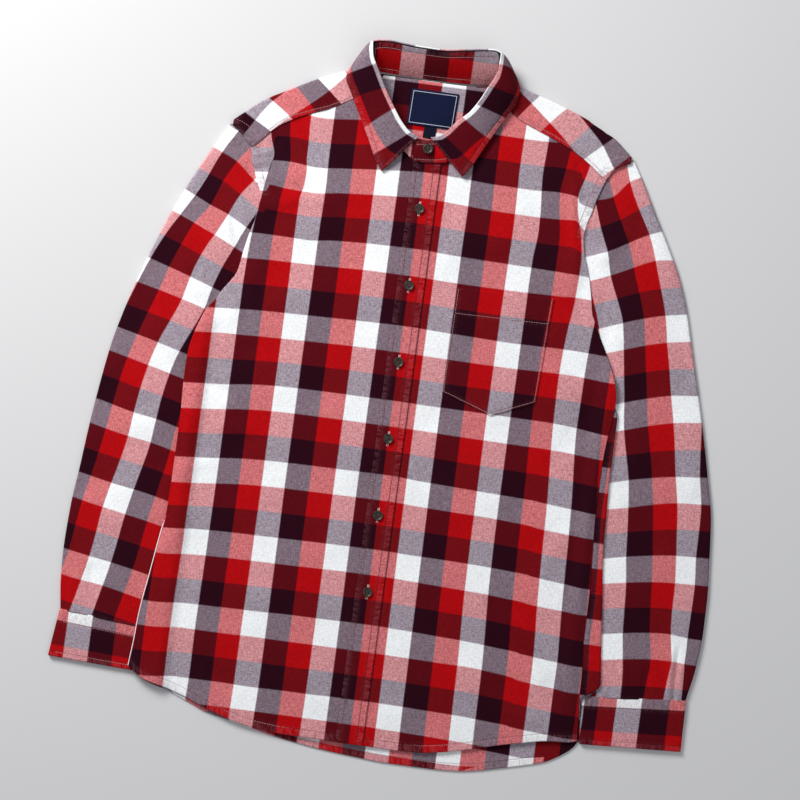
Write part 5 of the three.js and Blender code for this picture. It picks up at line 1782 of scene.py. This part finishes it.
LEFT_SLEEVE_CREASES = (
    Crease(190, 224, 212, 208, 5, -2.4, 3), Crease(196, 200, 222, 196, 4, 1.2, 2),
    Crease(188, 236, 208, 232, 3, 1.0, 1), Crease(198, 250, 226, 214, 5, 0.9, -3),
    Crease(206, 204, 240, 226, 7, 0.9, 3), Crease(216, 150, 248, 110, 8, -0.9, 4),
    Crease(236, 110, 262, 60, 8, 0.9, 3), Crease(262, 250, 300, 170, 13, 0.8, 5),
    Crease(300, 120, 330, 60, 12, -0.6, -5), Crease(270, 30, 300, -40, 10, 0.7, 4),
    Crease(340, 0, 352, -70, 10, 0.6, -4), Crease(276, -90, 330, -130, 12, -0.6, 6),
    Crease(290, -180, 330, -230, 12, 0.7, -5), Crease(361, -245, 364, -308, 2.2, -1.5, 0.6),
    Crease(355, -250, 357, -308, 2.4, 1.0, 0.6), Crease(368, -262, 369, -308, 2.0, 0.9, 0.3),
    Crease(300, -270, 306, -310, 5, 0.7, 1), Crease(330, -272, 328, -310, 5, -0.7, 1),
)


@dataclass
class Collar:
    """The collar: neckband and fall."""

    grid: float = 2.2

    def stand(self) -> Surface:
        """Lays out the neckband's middle.

        Returns:
            The surface.
        """
        a, b = spread(self.grid, 500), spread(2.2, 34)
        sx, sy, sz, rx, ry, rz = (c[None] for c in sections_at(STAND_SECTIONS, a))
        share = b[:, None]
        bow = 1.2 * np.sin(np.pi * share)
        x, y = mix(sx, rx, share), mix(sy, ry, share) - bow
        z = mix(sz, rz, share) + bow
        z = z + 0.12 * PUCKER.at(x, y * 0.3) * np.exp(-((share - 0.2) / 0.2) ** 2)
        back = np.stack([(x + 52) / CELL, 1 + (y - 373) / CELL], -1)
        front = np.stack([2 + (x - 2) / CELL, 1.1 + (306 - y) / 34 + 0 * x], -1)
        cells = np.where((y > 340)[..., None], back, front)
        seams = nearest((500 * a[None], 34 * share - 5 + 0 * x), (500 * a[None], 29 - 34 * share + 0 * x))
        return Surface(np.stack([x, y, z], -1), cells, seams=seams)

    def leaf(self) -> Surface:
        """Lays out the fall's middle: from the roll, over its swell, to the outer edge.

        Returns:
            The surface.
        """
        a, b = spread(self.grid, 560), spread(self.grid, 60)
        controls, rows = [], []
        for rx, ry, rz, ex, ey, ez, swell, row_roll, row_edge in LEAF_SECTIONS:
            out = np.array((math.copysign(0.2, rx), 1, 0.1)) if ez < 6 else np.array((ex - rx, ey - ry, 0.0))
            if ez >= 6:
                out = out / np.linalg.norm(out)
                out[2] = 0.6
            knee = (np.array((rx, ry, rz)) + (ex, ey, ez)) / 2 + out * swell
            controls.append((rx, ry, rz, *knee, ex, ey, ez))
            rows.append((row_roll, row_edge))
        c = [v[None] for v in sections_at(controls, a)]
        row_roll, row_edge = (v[None] for v in sections_at(rows, a))
        t = b[:, None]
        x, y, z = ((1 - t) ** 2 * c[k] + 2 * t * (1 - t) * c[k + 3] + t * t * c[k + 6] for k in range(3))
        points = np.stack([x, y, z], -1)
        steps = np.linalg.norm(np.diff(points, axis=0), axis=-1)
        run = np.concatenate([np.zeros((1, len(a))), np.cumsum(steps, axis=0)])
        to_edge = run[-1:] - run
        ends = np.minimum(a, 1 - a)[None] * 545
        from_edge = np.minimum(to_edge, ends + 0 * run)
        pucker = 0.3 * PUCKER.at(x * 1.05, y * 1.05) * np.exp(-((from_edge - 4.5) / 4.0) ** 2)
        groove = -0.35 * np.exp(-((from_edge - 6) / 1.1) ** 2)
        shown = ease((z - 4) / 4)
        lift = 0.7 * SOFT.at(x, y) * ease(run / 20) * ease(to_edge / 12)
        points[..., 2] += shown * (pucker + groove + lift + 0.2)
        cells = np.stack([1 + (run - 4.2) / CELL, mix(row_roll, row_edge, t)], -1)
        at_end = ends + 0 * run < to_edge
        seams = nearest((np.where(at_end, run, 545 * a[None] + 0 * run), from_edge - 6))
        return Surface(points, cells, seams=seams)

    def build(self, tailor: Tailor) -> dict:
        """Makes the neckband and the fall, by name.

        Args:
            tailor: makes the meshes.

        Returns:
            The objects by name.
        """
        return {
            "collar_stand": tailor.cloth("collar_stand", self.stand(), BAND),
            "collar_leaf": tailor.cloth("collar_leaf", self.leaf(), BAND),
        }


@dataclass
class Placket:
    """The band that the buttons close, on the left front."""

    top: float = 278.0

    @staticmethod
    def height(x: Values, y: Values) -> np.ndarray:
        """Height of the band's middle.

        Args:
            x, y: places in the plan.

        Returns:
            The height at each place, in millimetres.
        """
        x, y = np.asarray(x, float), np.asarray(y, float)
        inset = np.minimum(x - PLACKET_LEFT, PLACKET_RIGHT - x)
        pucker = 0.3 * PUCKER.at(x * 0.35, y) * np.exp(-((inset - 3) / 3.6) ** 2)
        groove = -0.3 * np.exp(-((inset - 5) / 0.9) ** 2)
        base, _ = front_base(x, y)
        soft = 0.2 * DRAPE.at(x * 0.2, y) + 0.12 * SOFT.at(x * 0.4, y)
        return base + CLOTH / 2 + AIR + BAND / 2 + pucker + groove + soft + 0.25

    def surface(self) -> Surface:
        """Lays out the band's middle.

        Returns:
            The surface.
        """
        a, b = spread(1.9, 31), spread(2.1, 683)
        x = mix(PLACKET_LEFT, PLACKET_RIGHT, a)
        xx, share = np.meshgrid(x, b)
        waver = 0.35 * CURL.at(0 * share, mix(-405, self.top, share))
        xx = xx + waver * (xx < -15)
        y = mix(smooth_at(FRONT_HEM, xx), self.top, share)
        seams = nearest((y, xx - PLACKET_LEFT - 5), (y, PLACKET_RIGHT - 7 - xx))
        return Surface(np.stack([xx, y, self.height(xx, y)], -1), FRONT_MAP.at(xx, y), seams=seams)

    def build(self, tailor: Tailor) -> bpy.types.Object:
        """Makes the band."""
        return tailor.cloth("placket", self.surface(), BAND)


@dataclass
class Pocket:
    top_in: tuple = (49, 138.5)
    top_out: tuple = (162, 141)
    low_in: tuple = (47.5, 16)
    low_out: tuple = (157, 18)
    point: tuple = (107, -4)

    @staticmethod
    def height(x: Values, y: Values) -> np.ndarray:
        """Height of the pocket's middle, without its seams."""
        return front_height(x, y) + CLOTH / 2 + AIR * 0.6 + CLOTH / 2

    def surface(self) -> Surface:
        """Lays out the pocket's middle.

        Returns:
            The surface.
        """
        a = np.unique(np.concatenate([spread(2.2, 112), [0.5]]))
        b = spread(2.2, 128)
        top = [mix(p, q, a) for p, q in zip(self.top_in, self.top_out)]
        low = [np.interp(a, (0, 0.5, 1), (p, m, q)) for p, m, q in zip(self.low_in, self.point, self.low_out)]
        share = b[:, None]
        x, y = (mix(l[None], t[None], share) for l, t in zip(low, top))
        inset = np.minimum(np.minimum(a, 1 - a)[None] * 112, b[:, None] * 125)
        rise = -0.4 * np.exp(-((inset - 2.5) / 1.0) ** 2)
        rise = rise + 0.12 * PUCKER.at(x, y) * np.exp(-((inset / 6) ** 2))
        hem = -0.45 * np.exp(-((y - 109) / 1.0) ** 2)
        hem = hem + 0.15 * PUCKER.at(x, 0 * y) * np.exp(-((y - 109) / 5) ** 2)
        belly = 0.5 * ease(inset / 14) * (0.6 + 0.5 * SOFT.at(x, y))
        z = self.height(x, y) + rise + hem + belly
        seams = nearest((x + y, inset - 2.5), (x, np.abs(y - 109.5) + 0 * x))
        return Surface(np.stack([x, y, z], -1), FRONT_MAP.at(x, y), seams=seams)

    def build(self, tailor: Tailor) -> bpy.types.Object:
        """Makes the pocket."""
        return tailor.cloth("pocket", self.surface(), CLOTH)


@dataclass
class Buttons:
    """Seven four-hole buttons sewn on with a cross of thread."""

    radius: float = BUTTON_RADIUS
    high: float = BUTTON_HEIGHT

    def places(self) -> list:
        """Node name and place of the middle of each button's underside.

        Returns:
            Pairs of a name and a place.
        """
        seat = FRONT + CLOTH / 2 + AIR + BAND + AIR
        placed = [("button_1", (-7.0, 294.0, 12.2))]
        placed += [(f"button_{i + 2}", (BUTTON_X, FIRST_BUTTON_Y - i * BUTTON_PITCH, seat)) for i in range(6)]
        return placed

    def _disc(self) -> bpy.types.Object:
        """Models one button: a disc with a raised rim, a dish and four holes.

        Returns:
            The button, at the origin.
        """
        r = self.radius * MM
        for obj in bpy.context.selected_objects:
            obj.select_set(False)
        bpy.ops.mesh.primitive_cylinder_add(vertices=40, radius=r, depth=self.high * MM,
                                            location=(0, 0, self.high * MM / 2))
        disc = bpy.context.object
        bpy.ops.object.transform_apply(location=True, rotation=True, scale=True)
        bpy.ops.object.mode_set(mode="EDIT")
        bpy.ops.mesh.select_all(action="DESELECT")
        bpy.ops.object.mode_set(mode="OBJECT")
        for face in disc.data.polygons:
            face.select = face.normal.z > 0.9
        bpy.ops.object.mode_set(mode="EDIT")
        bpy.ops.mesh.inset(thickness=1.0 * MM)
        bpy.ops.mesh.inset(thickness=0.8 * MM)
        bpy.ops.transform.translate(value=(0, 0, -0.75 * MM))
        bpy.ops.mesh.select_all(action="DESELECT")
        bpy.ops.object.mode_set(mode="OBJECT")
        bevel = disc.modifiers.new("round", "BEVEL")
        bevel.width, bevel.segments, bevel.angle_limit = 0.35 * MM, 2, math.radians(40)
        bpy.ops.object.modifier_apply(modifier="round")
        holes = []
        for x, y in ((1.25, 1.25), (-1.25, 1.25), (-1.25, -1.25), (1.25, -1.25)):
            for obj in bpy.context.selected_objects:
                obj.select_set(False)
            bpy.ops.mesh.primitive_cylinder_add(vertices=12, radius=0.62 * MM, depth=8 * MM,
                                                location=(x * MM, y * MM, 0))
            holes.append(bpy.context.object)
        for hole in holes:
            cut = disc.modifiers.new("hole", "BOOLEAN")
            cut.object, cut.operation, cut.solver = hole, "DIFFERENCE", "EXACT"
            bpy.context.view_layer.objects.active = disc
            bpy.ops.object.modifier_apply(modifier="hole")
            bpy.data.objects.remove(hole, do_unlink=True)
        for obj in bpy.context.selected_objects:
            obj.select_set(False)
        disc.select_set(True)
        bpy.context.view_layer.objects.active = disc
        bpy.ops.object.shade_smooth_by_angle(angle=math.radians(35))
        return disc

    def build(self, tailor: Tailor, stitcher: Stitcher) -> list:
        """Makes the buttons and their thread.

        Args:
            tailor: has the finishes.
            stitcher: sews the thread.

        Returns:
            The buttons.
        """
        model = self._disc()
        made, lines = [], []
        for count, (node, (x, y, z)) in enumerate(self.places()):
            mesh = model.data.copy()
            turn = 0.5 * count
            shift = Tailor.metres(np.array((x, y, z)))
            for vertex in mesh.vertices:
                cx, cy, cz = vertex.co
                vertex.co = (cx * math.cos(turn) - cy * math.sin(turn) + shift[0],
                             cx * math.sin(turn) + cy * math.cos(turn) + shift[1], cz + shift[2])
            obj = bpy.data.objects.new(f"{node}_disc", mesh)
            bpy.context.scene.collection.objects.link(obj)
            mesh.materials.clear()
            mesh.materials.append(tailor.wardrobe.horn)
            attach(obj, "root")
            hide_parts(node)
            made.append(obj)
            for way in (0.25, 0.75):
                dx, dy = math.cos(turn + way * math.pi) * 1.9, math.sin(turn + way * math.pi) * 1.9
                top = z + self.high - 0.62
                lines.append(np.array([(x - dx, y - dy, top), (x, y, top + 0.12), (x + dx, y + dy, top)]))
        bpy.data.objects.remove(model, do_unlink=True)
        thread = stitcher.sew("button_thread", lines, tailor.wardrobe.dark_thread, 3.8, 3.6, 0.5)
        log.info("buttons: %d", len(made))
        return made


@dataclass
class Sewing:
    """Rows of topstitching and the buttonholes."""

    stitcher: Stitcher

    def _row_at(self, piece: str, rows: Values, columns: Values, wall: float) -> np.ndarray:
        """A row over a piece's grid, just proud of its outer face."""
        return self.stitcher.tailor.laid[piece].track(rows, columns, wall / 2 + PROUD)

    def _across(self, piece: str, distance: float, wall: float, columns: Sequence[int]) -> np.ndarray:
        """A row where the piece's seam map reads a distance, one place for each of the columns.

        Args:
            piece: the piece's name.
            distance: millimetres from the seam.
            wall: how thick the cloth is.
            columns: columns of its grid.

        Returns:
            The row of places.
        """
        off = self.stitcher.tailor.laid[piece].seams[..., 1]
        rows = []
        for j in columns:
            way = off[:, j] - distance
            cross = np.nonzero(way[:-1] * way[1:] <= 0)[0]
            last = cross[-1] if len(cross) else 0
            rows.append(last + way[last] / (way[last] - way[last + 1] + 1e-9))
        return self._row_at(piece, np.clip(rows, 0, len(off) - 1), np.array(columns), wall)

    def hem(self) -> None:
        """Topstitching along the front hem."""
        x = np.linspace(-266, 254, 180)
        y = smooth_at(FRONT_HEM, x) + HEM_ROW
        line = np.column_stack([x, y, front_height(x, y) + CLOTH / 2 + PROUD])
        self.stitcher.sew("hem_stitches", [line], self.stitcher.tailor.wardrobe.pale_thread)

    def placket(self) -> None:
        """Two rows down the band."""
        rows = [on_height(((x, -399), (x, 276)), Placket.height, BAND / 2 + PROUD)
                for x in (PLACKET_LEFT + 5, PLACKET_RIGHT - 7)]
        self.stitcher.sew("placket_stitches", rows, self.stitcher.tailor.wardrobe.dark_thread, thick=0.5)

    def shoulders(self) -> None:
        """Rows along the yoke's front seams and down the body's side of the armholes."""
        yoke, body = [], []
        for edge, top, sign in ((RIGHT_SIDE_EDGE, RIGHT_FRONT_TOP, -1), (LEFT_SIDE_EDGE, LEFT_FRONT_TOP, 1)):
            seam = np.array(sorted(((x, y) for x, y in top if abs(x) > 90), key=lambda p: abs(p[0])), float)
            flat = Yoke().height
            yoke.append(on_height(seam + (0, 2.2), flat, CLOTH / 2 + PROUD))
            ys = np.arange(edge[0][0] - 2, 232, -3.0)
            line = np.column_stack([smooth_at(edge, ys) - sign * 8.5, ys])
            body.append(on_height(line, front_height, CLOTH / 2 + PROUD))
        for tip in (((-205, 283), (-214, 291), (-226, 297.5), (-233, 299)),
                    ((199, 300), (206, 310), (217, 315.5), (226, 317))):
            yoke.append(on_height(tip, Yoke().height, CLOTH / 2 + PROUD))
        w = self.stitcher.tailor.wardrobe
        self.stitcher.sew("yoke_stitches", yoke, w.pale_thread, thick=0.5)
        self.stitcher.sew("armhole_stitches", body, w.pale_thread, thick=0.5)

    def collar(self) -> None:
        """A row round the fall, 6 mm in, and rows along the neckband."""
        laid = self.stitcher.tailor.laid
        leaf = laid["collar_leaf"]
        count = leaf.points.shape[1]
        a = spread(Collar().grid, 560)
        inner = [j for j in range(count) if 6 <= min(a[j], 1 - a[j]) * 545]
        round_ = self._across("collar_leaf", 0.0, BAND, inner)
        lines = [round_]
        for j in (inner[0], inner[-1]):
            along = np.arange(3, leaf.points.shape[0] - 4.0)
            lines.append(self._row_at("collar_leaf", along, float(j), BAND))
        w = self.stitcher.tailor.wardrobe
        self.stitcher.sew("fall_stitches", lines, w.dark_thread, thick=0.5)
        stand = laid["collar_stand"]
        columns = np.arange(stand.points.shape[1] - 1.0)
        rows = []
        for share in (5 / 34, 29 / 34):
            at = np.interp(share, spread(2.2, 34), np.arange(stand.points.shape[0]))
            rows.append(self._row_at("collar_stand", at, columns, -BAND - 0.2))
            rows.append(self._row_at("collar_stand", at, columns, BAND))
        self.stitcher.sew("neckband_stitches", rows, w.pale_thread, thick=0.5)

    def cuffs(self) -> None:
        """Two rows round the upper face of each cuff."""
        lines = []
        for piece, first in (("cuff_right", 14), ("cuff_left", 12)):
            down = spread(2.2, 54) * 54
            for distance in (first, 49):
                at = np.interp(distance, down, np.arange(len(down)))
                lines.append(self._row_at(piece, at, np.arange(1, 43.0), CUFF))
        self.stitcher.sew("cuff_stitches", lines, self.stitcher.tailor.wardrobe.pale_thread, thick=0.5)

    def buttonholes(self) -> None:
        """Upright buttonholes, of which the ends show over and under each button."""
        lines = []
        for i in range(6):
            middle = FIRST_BUTTON_Y - i * BUTTON_PITCH
            for side in (-0.75, 0.75):
                for low, high in ((5.2, 8.6), (-8.6, -5.2)):
                    x = BUTTON_X + side
                    ends = (x, middle + low), (x, middle + high)
                    lines.append(on_height(ends, Placket.height, BAND / 2 + 0.12, 0.5))
        white = self.stitcher.tailor.wardrobe.white_thread
        self.stitcher.sew("buttonhole_stitches", lines, white, 1.1, 1.5, 0.8)

    def pocket(self, pocket: Pocket) -> None:
        """Rows round the pocket and across its hem.

        Args:
            pocket: the pocket to sew on.
        """
        def inset(gap: float) -> list:
            """The pocket's outline, a little inside its edge.

            Args:
                gap: how far inside, in millimetres.

            Returns:
                Places in the plan.
            """
            return [(pocket.top_in[0] + gap, 137.5), (pocket.low_in[0] + gap, pocket.low_in[1] + gap * 0.6),
                    (pocket.point[0], pocket.point[1] + gap * 1.05),
                    (pocket.low_out[0] - gap, pocket.low_out[1] + gap * 0.6), (pocket.top_out[0] - gap, 140)]

        def height(x: Values, y: Values) -> np.ndarray:
            """Just above the pocket."""
            return Pocket.height(x, y) + CLOTH / 2 + 0.2

        outer = inset(1.6)
        rows = [on_height(outer, height, 0.0),
                on_height(((51, 109), (159.5, 111)), height, 0.1)]
        self.stitcher.sew("pocket_stitches", rows, self.stitcher.tailor.wardrobe.pale_thread, thick=0.5)

    def build(self, pocket: Pocket) -> None:
        """Sews every row.

        Args:
            pocket: the pocket to sew on.
        """
        self.hem()
        self.placket()
        self.shoulders()
        self.collar()
        self.cuffs()
        self.buttonholes()
        self.pocket(pocket)


@dataclass
class Studio:
    """Plain floor, soft light and the camera straight above the shirt."""

    wide: float = 0.936
    away: float = 2.4

    def floor(self) -> None:
        """Lays the floor under the shirt."""
        for obj in bpy.context.selected_objects:
            obj.select_set(False)
        bpy.ops.mesh.primitive_plane_add(size=6, location=(0, 0, -0.0004))
        plane = bpy.context.object
        plane.name = "floor"
        s = Shader("pale_floor")
        s.set(Base_Color=(0.62, 0.62, 0.63, 1), Roughness=0.9, Specular_IOR_Level=0.1)
        plane.data.materials.append(s.material)

    def lights(self) -> None:
        """Puts a broad soft light high on the left and fills from the world."""
        for name, place, size, power, tint in (
            ("key_light", (-1.35, 1.45, 1.35), 0.9, 70, (1.0, 0.99, 0.97)),
            ("fill_light", (1.6, -0.7, 2.2), 2.4, 12, (0.97, 0.98, 1.0)),
        ):
            data = bpy.data.lights.new(name, "AREA")
            data.size, data.energy, data.color = size, power, tint
            lamp = bpy.data.objects.new(name, data)
            lamp.location = place
            lamp.rotation_euler = (Vector((0, 0, 0)) - Vector(place)).to_track_quat("-Z", "Y").to_euler()
            bpy.context.scene.collection.objects.link(lamp)
        world = bpy.data.worlds.new("studio")
        world.use_nodes = True
        world.node_tree.nodes["Background"].inputs[0].default_value = (0.93, 0.95, 1.0, 1)
        world.node_tree.nodes["Background"].inputs[1].default_value = 0.33
        bpy.context.scene.world = world

    def camera(self) -> None:
        """Hangs the camera over the middle of the view, turned as the shirt is turned."""
        data = bpy.data.cameras.new("camera")
        data.sensor_width = 36
        data.lens = 36 * self.away / self.wide
        data.clip_end = 20
        camera = bpy.data.objects.new("camera", data)
        camera.location = (-MIDDLE[0] * MM, -MIDDLE[1] * MM, self.away)
        camera.rotation_euler = (0, 0, TILT)
        bpy.context.scene.collection.objects.link(camera)
        bpy.context.scene.camera = camera

    def build(self) -> None:
        """Sets everything round the shirt."""
        self.floor()
        self.lights()
        self.camera()
        bpy.context.scene.view_settings.view_transform = "Standard"
        bpy.context.scene.view_settings.look = "None"
        bpy.context.scene.view_settings.exposure = 0.0


@dataclass
class Cut:
    """The flat cut of a sheet: width and length of its box, and its area where it isn't a rectangle."""

    wide: float
    long: float
    area: Optional[float] = None


def main() -> None:
    """Builds the shirt and its surroundings."""
    logging.basicConfig(level=logging.INFO, format="%(message)s")
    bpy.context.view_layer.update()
    wardrobe = Wardrobe.made()
    tailor = Tailor(wardrobe)
    stitcher = Stitcher(tailor)
    pieces = {"back_panel": Back().build(tailor)}
    pieces["front_right"] = Front(Side.WEARER_RIGHT).build(tailor)
    pieces["front_left"] = Front(Side.WEARER_LEFT).build(tailor)
    pieces.update(Yoke().build(tailor))
    pieces.update(Sleeve(Side.WEARER_RIGHT, creases=RIGHT_SLEEVE_CREASES).build(tailor))
    pieces.update(Sleeve(Side.WEARER_LEFT, creases=LEFT_SLEEVE_CREASES).build(tailor))
    pieces.update(Collar().build(tailor))
    pieces["placket"] = Placket().build(tailor)
    pocket = Pocket()
    pieces["pocket"] = pocket.build(tailor)
    Buttons().build(tailor, stitcher)
    Sewing(stitcher).build(pocket)
    Studio().build()


if __name__ == "__main__":
    main()
